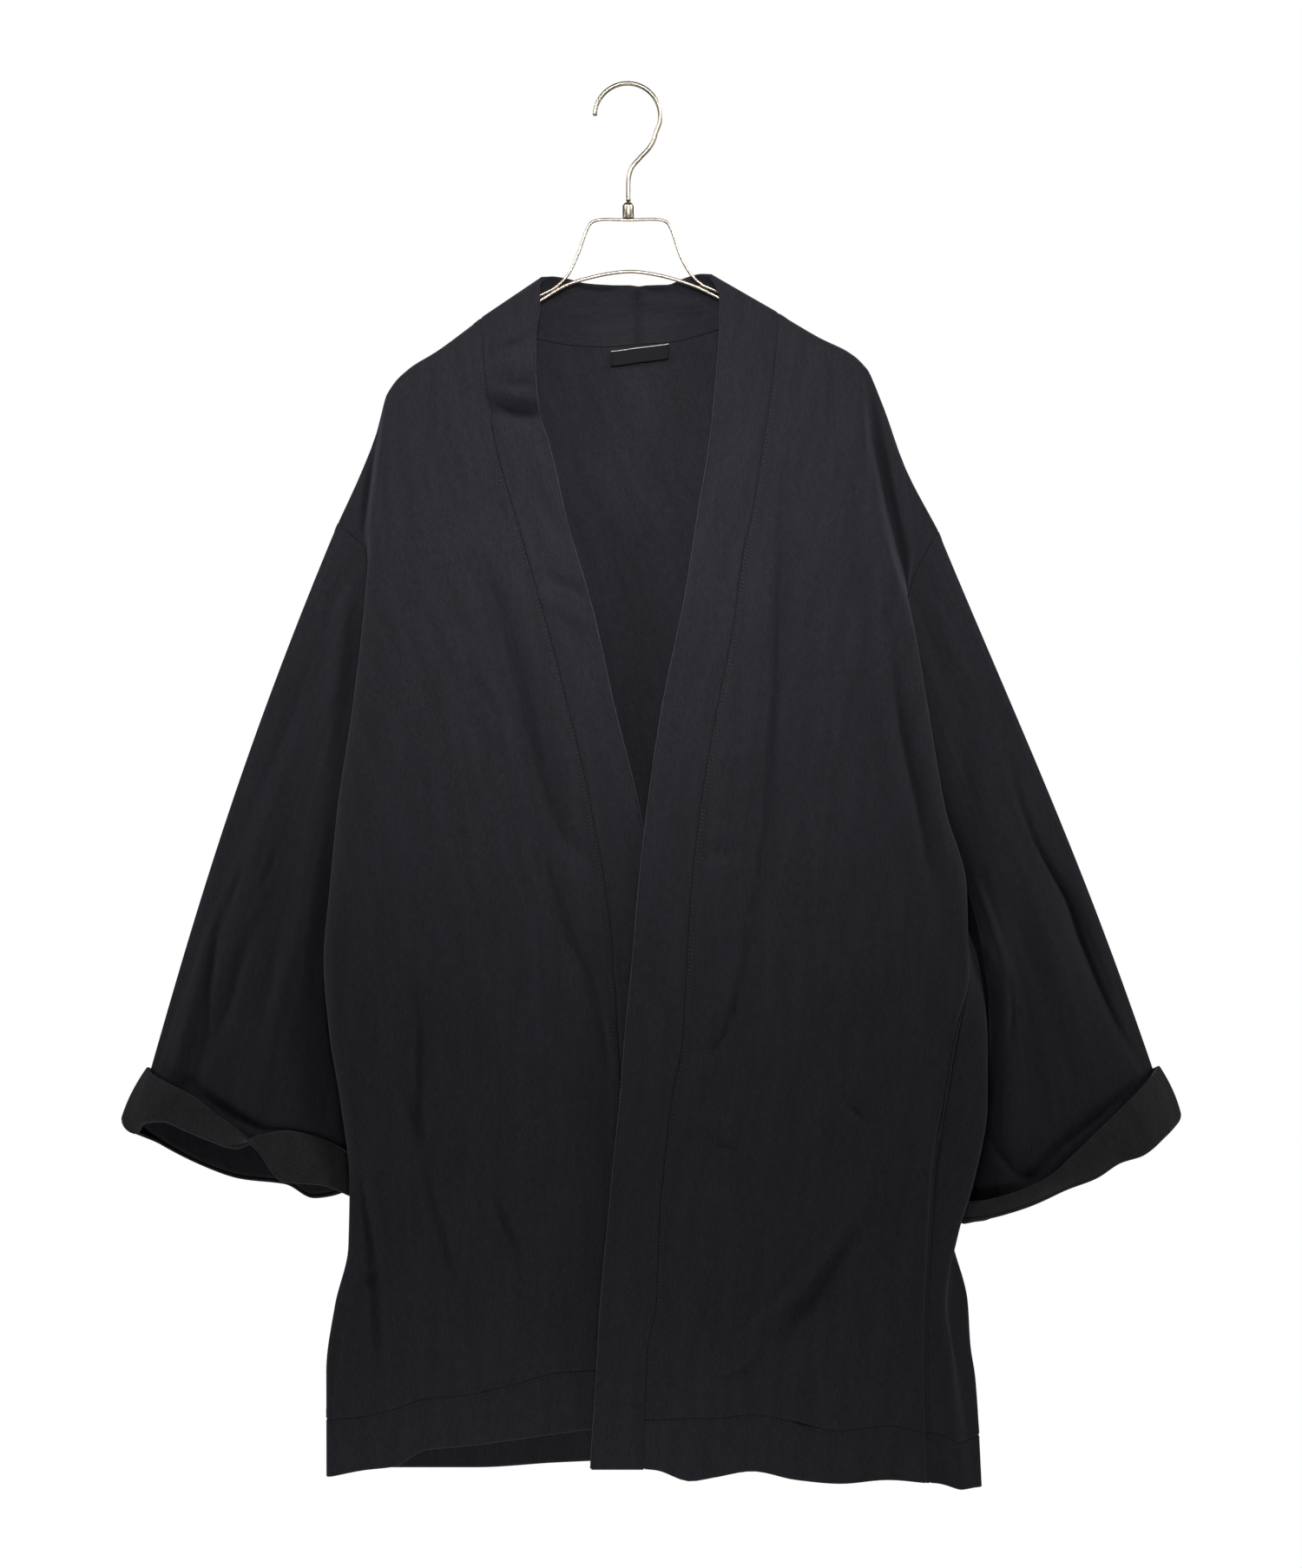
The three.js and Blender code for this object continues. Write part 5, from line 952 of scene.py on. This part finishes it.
def tube(name, points, radius, sides):
    """A round tube along points, with rounded ends: the hanger's wires and the label's painted highlight line."""
    points = np.asarray(points, float)
    ends = np.array([0.0, 0.35, 0.75])
    first_way = (points[1] - points[0]) / np.linalg.norm(points[1] - points[0])
    last_way = (points[-2] - points[-1]) / np.linalg.norm(points[-2] - points[-1])
    start = points[0] + first_way * (radius * ends)[:, None]
    stop = points[-1] + last_way * (radius * ends)[::-1, None]
    shrink = np.sqrt(np.maximum(0.02, 1 - (1 - ends) ** 2))
    radii = np.concatenate([radius * shrink, np.full(len(points) - 2, radius), radius * shrink[::-1]])
    points = np.concatenate([start, points[1:-1], stop])
    tangent = np.gradient(points, axis=0)
    tangent /= np.linalg.norm(tangent, axis=1)[:, None]
    side = np.cross(tangent, [0, 1, 0])
    side /= np.maximum(1e-9, np.linalg.norm(side, axis=1))[:, None]
    lift = np.cross(side, tangent)
    angle = np.linspace(0, 2 * np.pi, sides, endpoint=False)
    ring = side[:, None] * np.cos(angle)[None, :, None] + lift[:, None] * np.sin(angle)[None, :, None]
    vertices = (points[:, None] + ring * radii[:, None, None]).reshape(-1, 3)
    return make_mesh(name, vertices, ring_faces(len(points), sides))


def through(points, count=10):
    """A smooth line through points (centripetal Catmull-Rom)."""
    p = np.asarray(points, float)
    p = np.concatenate([[2 * p[0] - p[1]], p, [2 * p[-1] - p[-2]]])
    line = []
    for a, b, c, d in zip(p[:-3], p[1:-2], p[2:-1], p[3:]):
        t0 = 0.0
        t1 = t0 + np.linalg.norm(b - a) ** 0.5
        t2 = t1 + np.linalg.norm(c - b) ** 0.5
        t3 = t2 + np.linalg.norm(d - c) ** 0.5
        t = np.linspace(t1, t2, count, endpoint=False)[:, None]
        a1 = (t1 - t) / (t1 - t0) * a + (t - t0) / (t1 - t0) * b
        a2 = (t2 - t) / (t2 - t1) * b + (t - t1) / (t2 - t1) * c
        a3 = (t3 - t) / (t3 - t2) * c + (t - t2) / (t3 - t2) * d
        b1 = (t2 - t) / (t2 - t0) * a1 + (t - t0) / (t2 - t0) * a2
        b2 = (t3 - t) / (t3 - t1) * a2 + (t - t1) / (t3 - t1) * a3
        line.append((t2 - t) / (t2 - t1) * b1 + (t - t1) / (t2 - t1) * b2)
    return np.concatenate(line + [p[-2:-1]])


class Value:
    """A shader socket that takes part in sums; each operator adds a Math node."""

    def __init__(self, tree, socket):
        self.tree, self.socket = tree, socket

    def math(self, operation, *others):
        node = self.tree.nodes.new("ShaderNodeMath")
        node.operation = operation
        for n, value in enumerate((self,) + others):
            if isinstance(value, Value):
                self.tree.links.new(value.socket, node.inputs[n])
            else:
                node.inputs[n].default_value = value
        return Value(self.tree, node.outputs[0])

    def fixed(self, number):
        node = self.tree.nodes.new("ShaderNodeValue")
        node.outputs[0].default_value = number
        return Value(self.tree, node.outputs[0])

    def __add__(self, other):
        return self.math("ADD", other)

    def __sub__(self, other):
        return self.math("SUBTRACT", other)

    def __mul__(self, other):
        return self.math("MULTIPLY", other)

    def __truediv__(self, other):
        return self.math("DIVIDE", other)

    def __rsub__(self, other):
        return self.fixed(other) - self

    def __rtruediv__(self, other):
        return self.fixed(other) / self

    __radd__ = __add__
    __rmul__ = __mul__


class Look:
    """A material with one surface shader."""

    def __init__(self, name, **plain):
        self.material = bpy.data.materials.new(name)
        self.material.use_nodes = True
        self.tree = self.material.node_tree
        self.tree.nodes.clear()
        self.shader = self.tree.nodes.new("ShaderNodeBsdfPrincipled")
        end = self.tree.nodes.new("ShaderNodeOutputMaterial")
        self.tree.links.new(self.shader.outputs[0], end.inputs["Surface"])
        for key, value in plain.items():
            self.shader.inputs[key.replace("_", " ")].default_value = value

    def node(self, kind, settings=(), output=0, **inputs):
        """Adds a node; an input is given by its name, or by its number after an n."""
        made = self.tree.nodes.new(kind)
        for key, value in dict(settings).items():
            setattr(made, key, value)
        for key, value in inputs.items():
            numbered = key[0] == "n" and key[1:].isdigit()
            socket = made.inputs[int(key[1:]) if numbered else key.replace("_", " ")]
            if isinstance(value, Value):
                self.tree.links.new(value.socket, socket)
            else:
                socket.default_value = value
        return Value(self.tree, made.outputs[output])

    def feed(self, name, value):
        self.tree.links.new(value.socket, self.shader.inputs[name])


def jersey_look(name, dark, pale, sheen, wale=1.15, lumps=0.35):
    """Smooth jersey: fine ribs of stitches down the cloth, softly mottled."""
    look = Look(name, Roughness=0.82, Sheen_Weight=sheen, Sheen_Roughness=0.45,
                Specular_IOR_Level=0.16, Sheen_Tint=(0.62, 0.62, 0.8, 1))
    place = look.node("ShaderNodeUVMap", {"uv_map": "cloth"})
    across = look.node("ShaderNodeSeparateXYZ", Vector=place)
    down = look.node("ShaderNodeSeparateXYZ", output=1, Vector=place)
    ribs = (across * (2 * math.pi / (wale * MM))).math("SINE")
    courses = (down * (2 * math.pi / (wale * 0.8 * MM))).math("SINE")
    spot = look.node("ShaderNodeTexCoord", output=3)

    def stretched(scale):
        return look.node("ShaderNodeMapping", {"vector_type": "POINT"}, Vector=place, Scale=scale)

    def noise(at, scale, detail, rough):
        return look.node("ShaderNodeTexNoise", Vector=at, Scale=scale, Detail=detail, Roughness=rough)

    broad = noise(stretched((95.0, 12.0, 1.0)), 1.0, 3.0, 0.6)
    fuzz = noise(spot, 420.0, 4.0, 0.7)
    streak = noise(stretched((900.0, 130.0, 1.0)), 1.0, 3.0, 0.6)
    tone = broad * 1.3 + fuzz * 2.0 + streak * 2.2 - 2.25
    colour = look.node("ShaderNodeMix", {"data_type": "RGBA", "clamp_factor": True}, output=2,
                       n0=tone, n6=dark, n7=pale)
    look.feed("Base Color", colour)
    height = (ribs * 0.5 + courses * 0.3) * 0.35 + fuzz * lumps + streak * 0.5
    look.feed("Normal", look.node("ShaderNodeBump", Height=height, Strength=0.35, Distance=0.00035))
    return look.material


JERSEY_DARK = (0.0052, 0.005, 0.0066, 1)
JERSEY_PALE = (0.0112, 0.0108, 0.0148, 1)
BAND_DARK = (0.0052, 0.005, 0.0067, 1)
CUFF_DARK = (0.0085, 0.0081, 0.0088, 1)
CUFF_PALE = (0.0165, 0.0158, 0.0172, 1)
BODY_LOOK = jersey_look("navy_jersey", JERSEY_DARK, JERSEY_PALE, 0.12)
BAND_LOOK = jersey_look("navy_band", BAND_DARK, JERSEY_PALE, 0.11)
CUFF_LOOK = jersey_look("navy_jersey_wrong_side", CUFF_DARK, CUFF_PALE, 0.1, wale=1.5, lumps=0.6)
THREAD_LOOK = Look("navy_thread", Base_Color=(0.009, 0.0088, 0.0115, 1), Roughness=0.6,
                   Specular_IOR_Level=0.3).material
LABEL_LOOK = Look("label_tape", Base_Color=(0.004, 0.004, 0.005, 1), Roughness=0.75,
                  Specular_IOR_Level=0.12).material
# Pale colour of the line along the label's top edge: a painted highlight, not a thread
PAINTED_HIGHLIGHT_LOOK = Look("label_pale_thread", Base_Color=(0.62, 0.62, 0.6, 1), Roughness=0.7).material


def wire_look():
    """Satin nickel with a warm tone and fine handling marks."""
    look = Look("satin_nickel", Base_Color=(0.42, 0.36, 0.29, 1), Metallic=1.0)
    spot = look.node("ShaderNodeTexCoord", output=3)
    marks = look.node("ShaderNodeTexNoise", Vector=spot, Scale=160.0, Detail=4.0, Roughness=0.65)
    look.feed("Roughness", marks * 0.14 + 0.27)
    return look.material


WIRE_LOOK = wire_look()


def finish_piece(piece, slot, look, *nodes):
    """Gives a piece its look, body, replaced nodes and slot."""
    piece.data.materials.append(look)
    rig.ride(piece, "root")
    if nodes:
        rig.replaces(piece, *nodes)
    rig.slot(piece, slot)
    return piece


# Sheets
def groove(distance, depth):
    return depth * np.exp(-(distance / GROOVE_WIDTH) ** 2)


def seam_relief(distance, ridge):
    """A groove at a seam and beside it the low ridge of the seam allowance below."""
    rise = smooth(distance / RIDGE_RISE)
    step = ridge * rise * (1 - smooth((distance - ALLOWANCE) / RIDGE_FALL))
    return step - groove(distance, SEAM_GROOVE)


def column_distance(grid, from_end=False):
    """How far each point lies along its row from the first column, or from the last one."""
    step = np.linalg.norm(np.diff(grid, axis=1), axis=-1)
    if from_end:
        return np.concatenate([np.cumsum(step[:, ::-1], axis=1)[:, ::-1], np.zeros((len(grid), 1))], 1)
    return np.concatenate([np.zeros((len(grid), 1)), np.cumsum(step, axis=1)], 1)


def row_distance(grid, from_end=False):
    """How far each point lies along its column from the first row, or from the last one."""
    return column_distance(np.swapaxes(grid, 0, 1), from_end).T


front_right = Sheet("front_right_cloth", panel_grid(FRONT_RIGHT, FRONT_ACROSS), JERSEY, flip=True)
front_left = Sheet("front_left_cloth", panel_grid(FRONT_LEFT, FRONT_ACROSS), JERSEY)
back = Sheet("back_cloth", panel_grid(BACK, BACK_ACROSS), JERSEY, flip=True)
hem_right = Sheet("hem_right_cloth", hem_grid(FRONT_RIGHT, FRONT_ACROSS), JERSEY, flip=True)
hem_left = Sheet("hem_left_cloth", hem_grid(FRONT_LEFT, FRONT_ACROSS), JERSEY)
hem_back = Sheet("hem_back_cloth", hem_grid(BACK, BACK_ACROSS), JERSEY, flip=True)
right_folds = RIGHT_SLEEVE_FOLDS + deeper(RIGHT_SLEEVE_CREASES)
left_folds = LEFT_SLEEVE_FOLDS + deeper(LEFT_SLEEVE_CREASES)
right_rings, around = sleeve_grid(FRONT_RIGHT, 0, RIGHT_CUFF, right_folds, -1, RIGHT_SLEEVE)
left_rings, around = sleeve_grid(FRONT_LEFT, 1, LEFT_CUFF, left_folds, 1, LEFT_SLEEVE)
sleeve_right = Sheet("sleeve_right_cloth", right_rings, JERSEY, closed=True)
sleeve_left = Sheet("sleeve_left_cloth", left_rings, JERSEY, closed=True, flip=True)
right_turn = cuff_grid(right_rings, around, RIGHT_CUFF)
left_turn = cuff_grid(left_rings, around, LEFT_CUFF)
cuff_right = Sheet("cuff_right_cloth", right_turn, CUFF, closed=True, alone=True)
cuff_left = Sheet("cuff_left_cloth", left_turn, CUFF, closed=True, flip=True, alone=True)
to_right = NECK_ACROSS[NECK_ACROSS <= 0.5][::-1]
to_left = NECK_ACROSS[NECK_ACROSS >= 0.5]
right_strip = band_grid(FRONT_RIGHT, RIGHT_FREE_EDGE, to_right, RIGHT_RIM_END)
left_strip = band_grid(FRONT_LEFT, LEFT_FREE_EDGE, to_left, LEFT_RIM_END)
band_right = Sheet("neckband_right_cloth", right_strip, BAND)
band_left = Sheet("neckband_left_cloth", left_strip, BAND, flip=True)

for sheet in (front_right, front_left):
    sheet.level[0] = True
    sheet.relief += seam_relief(column_distance(sheet.grid), SEAM_RIDGE)
back.level[0] = (BACK_ACROSS <= NECK_START) | (BACK_ACROSS >= NECK_END)
for sheet in (band_right, band_left):
    sheet.relief -= groove(column_distance(sheet.grid), BAND_GROOVE)
for sheet in (front_right, front_left, back):
    sheet.relief += seam_relief(row_distance(sheet.grid, from_end=True), HEM_RIDGE)
for sheet in (hem_right, hem_left, hem_back):
    sheet.relief -= groove(row_distance(sheet.grid), BAND_GROOVE)
for sheet in (sleeve_right, sleeve_left):
    sheet.relief += seam_relief(row_distance(sheet.grid), SLEEVE_RIDGE)

# The label hangs from its top edge, a little askew, and leans away from the back
LABEL_ENDS = (0.472, 0.542)
LABEL_DROPS = (4, 1.5)
LABEL_HEIGHT = 12
LABEL_WALL = 0.55
LABEL_GAP = 0.8
LABEL_LEAN = 1.8
# Radius of the pale line along the label's top edge, which is a painted highlight
LABEL_HIGHLIGHT = 0.22
label_shares = np.linspace(*LABEL_ENDS, 15)
label_rows = np.linspace(0, 1, 9)[:, None]
label_drop = np.linspace(*LABEL_DROPS, 15)[None] + LABEL_HEIGHT * label_rows
label_z = BACK.top(label_shares)[None] - label_drop
label_points = BACK.point(np.broadcast_to(label_shares, label_drop.shape), label_z)
label_points[..., 1] -= JERSEY / 2 + LABEL_GAP + LABEL_LEAN * label_rows
label = Sheet("neck_label_tape", label_points, LABEL_WALL, alone=True)

sheets = [front_right, front_left, back, hem_right, hem_left, hem_back, sleeve_right, sleeve_left,
          cuff_right, cuff_left, band_right, band_left, label]
share_normals(sheets)

# Name of each sheet's node and slot, its look, and its cut: width, length and area in metres
CUTS = {
    "front_right_cloth": ("front_right", "body_cloth", BODY_LOOK, 0.271, 0.861, 0.176),
    "front_left_cloth": ("front_left", "body_cloth", BODY_LOOK, 0.252, 0.898, 0.173),
    "back_cloth": ("back", "body_cloth", BODY_LOOK, 0.685, 0.907, 0.446),
    "hem_right_cloth": ("hem_right", "hem_cloth", BODY_LOOK, 0.243, 0.049, 0.0105),
    "hem_left_cloth": ("hem_left", "hem_cloth", BODY_LOOK, 0.233, 0.05, 0.0101),
    "hem_back_cloth": ("hem_back", "hem_cloth", BODY_LOOK, 0.603, 0.048, 0.027),
    "sleeve_right_cloth": ("sleeve_right", "sleeve_cloth", BODY_LOOK, 0.612, 0.508, 0.1185),
    "sleeve_left_cloth": ("sleeve_left", "sleeve_cloth", BODY_LOOK, 0.601, 0.507, 0.118),
    "cuff_right_cloth": ("cuff_right", "cuff_cloth", CUFF_LOOK, 0.465, 0.065, 0.0167),
    "cuff_left_cloth": ("cuff_left", "cuff_cloth", CUFF_LOOK, 0.441, 0.059, 0.0159),
    "neckband_right_cloth": ("neckband_right", "band_cloth", BAND_LOOK, 0.059, 1.041, 0.041),
    "neckband_left_cloth": ("neckband_left", "band_cloth", BAND_LOOK, 0.062, 1.055, 0.0438),
    "neck_label_tape": ("neck_label", "label_tape", LABEL_LOOK, 0.046, 0.012, None),
}
made = {}
for sheet in sheets:
    node, slot, look = CUTS[sheet.name][:3]
    made[sheet.name] = finish_piece(make_wall(sheet), slot, look, node)

# Stitching: how far in the lines run, half a stitch as a share of the pitch, half a rung as a share
# of the ladder's width, and how far a thread's middle stands out, as a share of its radius
LADDER_INSETS = (2.2, 4.4)
HEM_INSET = 2.2
ARMHOLE_INSET = 2.5
STITCH_SHARE = 0.36
RUNG_SHARE = 0.42
STITCH_RISE = 0.3

# The rings of one stitch: how far along its half length they lie, and their width
THREAD_SIDES = 6
CAPSULE = [(-1, 0.35), (-0.72, 0.9), (0, 1), (0.72, 0.9), (1, 0.35)]


def resample(line, up, pitch):
    """Places at an even pitch along a line: point, way along it and way out of the cloth."""
    run = np.concatenate([[0], np.cumsum(np.linalg.norm(np.diff(line, axis=0), axis=1))])
    at = np.arange(pitch / 2, run[-1], pitch)
    read = lambda values: np.stack([np.interp(at, run, values[:, n]) for n in range(3)], -1)
    place, out = read(line), read(up)
    way = np.gradient(place, axis=0)
    way /= np.linalg.norm(way, axis=1)[:, None]
    out -= way * np.sum(out * way, axis=1)[:, None]
    return place, way, out / np.linalg.norm(out, axis=1)[:, None]


def threads(name, sets):
    """Short raised threads, each set given by its middles, half lengths along and ways out."""
    points, faces, count = [], [], 0
    corners = len(CAPSULE) * THREAD_SIDES
    angle = np.linspace(0, 2 * np.pi, THREAD_SIDES, endpoint=False)
    for middle, half, out in sets:
        length = np.linalg.norm(half, axis=1)[:, None]
        side = np.cross(half / length, out)
        ring = [middle[:, None] + half[:, None] * step + THREAD * wide * (
            side[:, None] * np.cos(angle)[None, :, None] + out[:, None] * np.sin(angle)[None, :, None])
            for step, wide in CAPSULE]
        points.append(np.stack(ring, 1).reshape(-1, 3))
        one = ring_faces(len(CAPSULE), THREAD_SIDES)
        for k in range(len(middle)):
            faces += [[count + k * corners + corner for corner in face] for face in one]
        count += len(middle) * corners
    return make_mesh(name, np.concatenate(points), faces)


def stitch_line(sheet, inset, by_row=False):
    """Places on a sheet's outer face, a small way in from its first column or its first row."""
    grid, normals = sheet.outer, sheet.normals
    if by_row:
        grid, normals = np.swapaxes(grid, 0, 1), np.swapaxes(normals, 0, 1)
    run = column_distance(grid)
    read = lambda values: np.stack([[np.interp(inset, run[n], values[n, :, c]) for c in range(3)]
                                    for n in range(len(grid))])
    line, up = read(grid), read(normals)
    return resample(line + up * THREAD * STITCH_RISE, up, STITCH)


def run_of(places):
    """A line of stitches at places."""
    place, way, out = places
    return place, way * STITCH * STITCH_SHARE, out


def ladder(sheet):
    """Two lines of stitches beside a seam with rungs between them."""
    first, second = (stitch_line(sheet, inset) for inset in LADDER_INSETS)
    count = min(len(first[0]), len(second[0]))
    a, b = first[0][:count], second[0][:count]
    out = first[2][:count] + second[2][:count]
    out /= np.linalg.norm(out, axis=1)[:, None]
    rung = ((a + b) / 2, (b - a) * RUNG_SHARE, out)
    return [run_of(first), run_of(second), rung]


def sew(name, slot, sets):
    return finish_piece(threads(name, sets), slot, THREAD_LOOK)


# Pieces that go with each sheet: its stitches, and for the label the pale line of painted highlight along its top edge
stitches_and_highlight = {}
for name, sheet in (("coverstitch_right", front_right), ("coverstitch_left", front_left)):
    stitches_and_highlight[sheet.name] = [sew(name, "band_cloth", ladder(sheet))]
for name, sheet, slot, inset in (("hem_stitch_right", hem_right, "hem_cloth", HEM_INSET),
                                 ("hem_stitch_left", hem_left, "hem_cloth", HEM_INSET),
                                 ("hem_stitch_back", hem_back, "hem_cloth", HEM_INSET),
                                 ("armhole_stitch_right", sleeve_right, "sleeve_cloth", ARMHOLE_INSET),
                                 ("armhole_stitch_left", sleeve_left, "sleeve_cloth", ARMHOLE_INSET)):
    stitches_and_highlight[sheet.name] = [sew(name, slot, [run_of(stitch_line(sheet, inset, by_row=True))])]
# A pale tube along the label's top edge paints the highlight there; it is no thread
label_top = label.outer[0] + label.normals[0] * 0.05
label_highlight = tube("label_edge_thread", label_top, LABEL_HIGHLIGHT, sides=8)
finish_piece(label_highlight, "label_tape", PAINTED_HIGHLIGHT_LOOK)
stitches_and_highlight["neck_label_tape"] = [label_highlight]

# Hanger: wires by their thickness and path in x and z, the hook's round part by its middle line
HOOK_WIRE = 3.7
FRAME_WIRE = 2.4
ARCH_WIRE = 2.8
HOOK_RADIUS = 26.45
HOOK_SHIFT = -0.7
HOOK_MIDDLE = HOOK_WIRE / 2 - HOOK_RADIUS
HOOK_ANGLES = [*range(180, -1, -20), -15, -30]
HOOK_SHANK = [(20.6, -43.4), (16.4, -50.6), (9.3, -58.2), (3, -65.8), (0.4, -74), (0, -83), (0, -94.2)]
HOOK_PATH = [(HOOK_SHIFT + HOOK_RADIUS * math.cos(math.radians(angle)),
              HOOK_MIDDLE + HOOK_RADIUS * math.sin(math.radians(angle))) for angle in HOOK_ANGLES]
HOOK_PATH += HOOK_SHANK
FRAME_PATH = [
    (-189.7, -248.6), (-177.8, -235.3), (-152.6, -218.5), (-117.6, -194.7), (-93.8, -181.4),
    (-72.1, -169.5), (-58.8, -162.5), (-49.0, -152.7), (-39.9, -133.8), (-33.6, -116.3),
    (-30.1, -110.7), (-23.8, -108.2), (0.0, -108.2), (25.9, -108.2), (31.5, -110.7), (35.0, -117.0),
    (42.0, -137.3), (50.4, -152.0), (59.5, -160.4), (72.1, -166.0), (88.2, -174.4), (120.4, -189.8),
    (154.0, -209.4), (177.8, -222.0), (187.6, -230.4)]
ARCH_PATH = [
    (-104.3, -191.9), (-86.8, -181.8), (-72.1, -173.7), (-49.0, -160.4), (-30.8, -154.8),
    (-11.9, -151.0), (2.8, -149.9), (18.2, -151.7), (35.0, -155.5), (53.9, -161.8), (72.8, -170.9),
    (88.2, -179.3), (105.7, -188.4)]
FERRULE = [(4.1, -106.7), (4.5, -106.6), (4.7, -106.2), (4.7, -97.0), (4.55, -96.4), (3.1, -94.6),
           (2.6, -94.35)]


def turned(name, profile, sides=48):
    """A solid turned round the z axis from a profile of (radius, height)."""
    angle = np.linspace(0, 2 * np.pi, sides, endpoint=False)
    vertices = [(r * math.cos(a), r * math.sin(a), z) for r, z in profile for a in angle]
    return make_mesh(name, vertices, ring_faces(len(profile), sides))


for name, path, wire, sides, node in (("hook_wire", HOOK_PATH, HOOK_WIRE, 24, "hanger_hook"),
                                      ("frame_wire", FRAME_PATH, FRAME_WIRE, 16, "hanger_frame"),
                                      ("arch_wire", ARCH_PATH, ARCH_WIRE, 16, "hanger_arch")):
    line = through([(x, 0, z) for x, z in path])
    finish_piece(tube(name, line, wire / 2, sides), "hanger_wire", WIRE_LOOK, node)
finish_piece(turned("hook_ferrule", FERRULE), "hanger_wire", WIRE_LOOK, "hanger_ferrule")

for sheet in sheets:
    width, length, area = CUTS[sheet.name][3:]
    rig.sheet(made[sheet.name], flat=(width, length), held="hung", rests_on=["frame_wire"], area=area,
             with_pieces=stitches_and_highlight.get(sheet.name, ()))

# Floor, light and view
WHITE = (1, 1, 1, 1)
ROUND_LIGHT = 0.075
FLOOR_RADIUS = 1600
FLOOR = [(FLOOR_RADIUS, -1712), (FLOOR_RADIUS, -1700)]
floor_look = Look("pale_floor", Base_Color=(0.86, 0.86, 0.85, 1), Roughness=0.9,
                  Emission_Color=WHITE, Emission_Strength=0.42).material
floor = turned("floor", FLOOR, 96)
floor.data.materials.append(floor_look)
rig.stage(floor)

# The world is white to the eye and gives only a little light
world = bpy.data.worlds.new("white_studio")
world.use_nodes = True
sky = world.node_tree
seen = sky.nodes["Background"]
round_light = sky.nodes.new("ShaderNodeBackground")
for background, strength in ((seen, 1.0), (round_light, ROUND_LIGHT)):
    background.inputs["Color"].default_value = WHITE
    background.inputs["Strength"].default_value = strength
ray = sky.nodes.new("ShaderNodeLightPath")
choice = sky.nodes.new("ShaderNodeMixShader")
sky.links.new(ray.outputs["Is Camera Ray"], choice.inputs[0])
sky.links.new(round_light.outputs[0], choice.inputs[1])
sky.links.new(seen.outputs[0], choice.inputs[2])
sky.links.new(choice.outputs[0], sky.nodes["World Output"].inputs["Surface"])
bpy.context.scene.world = world

# Lights: name, place, what they face, width and height in metres, watts, spread in degrees
LIGHTS = [
    ("left_window", (-1.1, -0.55, 0.5), (0, 0, -0.2), (0.3, 0.4), 3.3, 100),
    ("right_window", (1.05, -0.55, 0.45), (0, 0, -0.2), (0.3, 0.4), 2.8, 100),
    ("top_front", (0.0, -1.0, 0.45), (0, 0, -0.2), (0.5, 0.3), 0.9, 100),
    ("neck_front", (0.02, -1.4, 0.1), (0, 0.03, -0.36), (0.25, 0.25), 1.1, 36),
    ("low_front", (-0.1, -0.6, -1.55), (-0.05, 0.05, -1.12), (0.5, 0.2), 1.0, 90),
    ("left_low", (-1.25, -0.32, -0.45), (0, 0, -0.8), (0.2, 0.5), 1.3, 100),
    ("right_low", (1.25, -0.32, -0.5), (0.05, 0, -0.8), (0.2, 0.5), 1.5, 100),
    ("back_soft", (0.5, 1.4, 0.3), (0, 0, -0.45), (0.7, 0.7), 7, 120),
]
for name, place, target, size, power, spread in LIGHTS:
    light = bpy.data.lights.new(name, "AREA")
    light.shape = "RECTANGLE"
    light.size, light.size_y = size
    light.energy = power
    light.spread = math.radians(spread)
    lamp = bpy.data.objects.new(name, light)
    lamp.location = place
    lamp.rotation_euler = (Vector(target) - Vector(place)).to_track_quat("-Z", "Y").to_euler()
    bpy.context.scene.collection.objects.link(lamp)

bpy.context.scene.view_settings.view_transform = "Standard"
with open("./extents.json", "w") as file:
    json.dump([cad_box, [list(corner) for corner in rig.bounds()]], file)
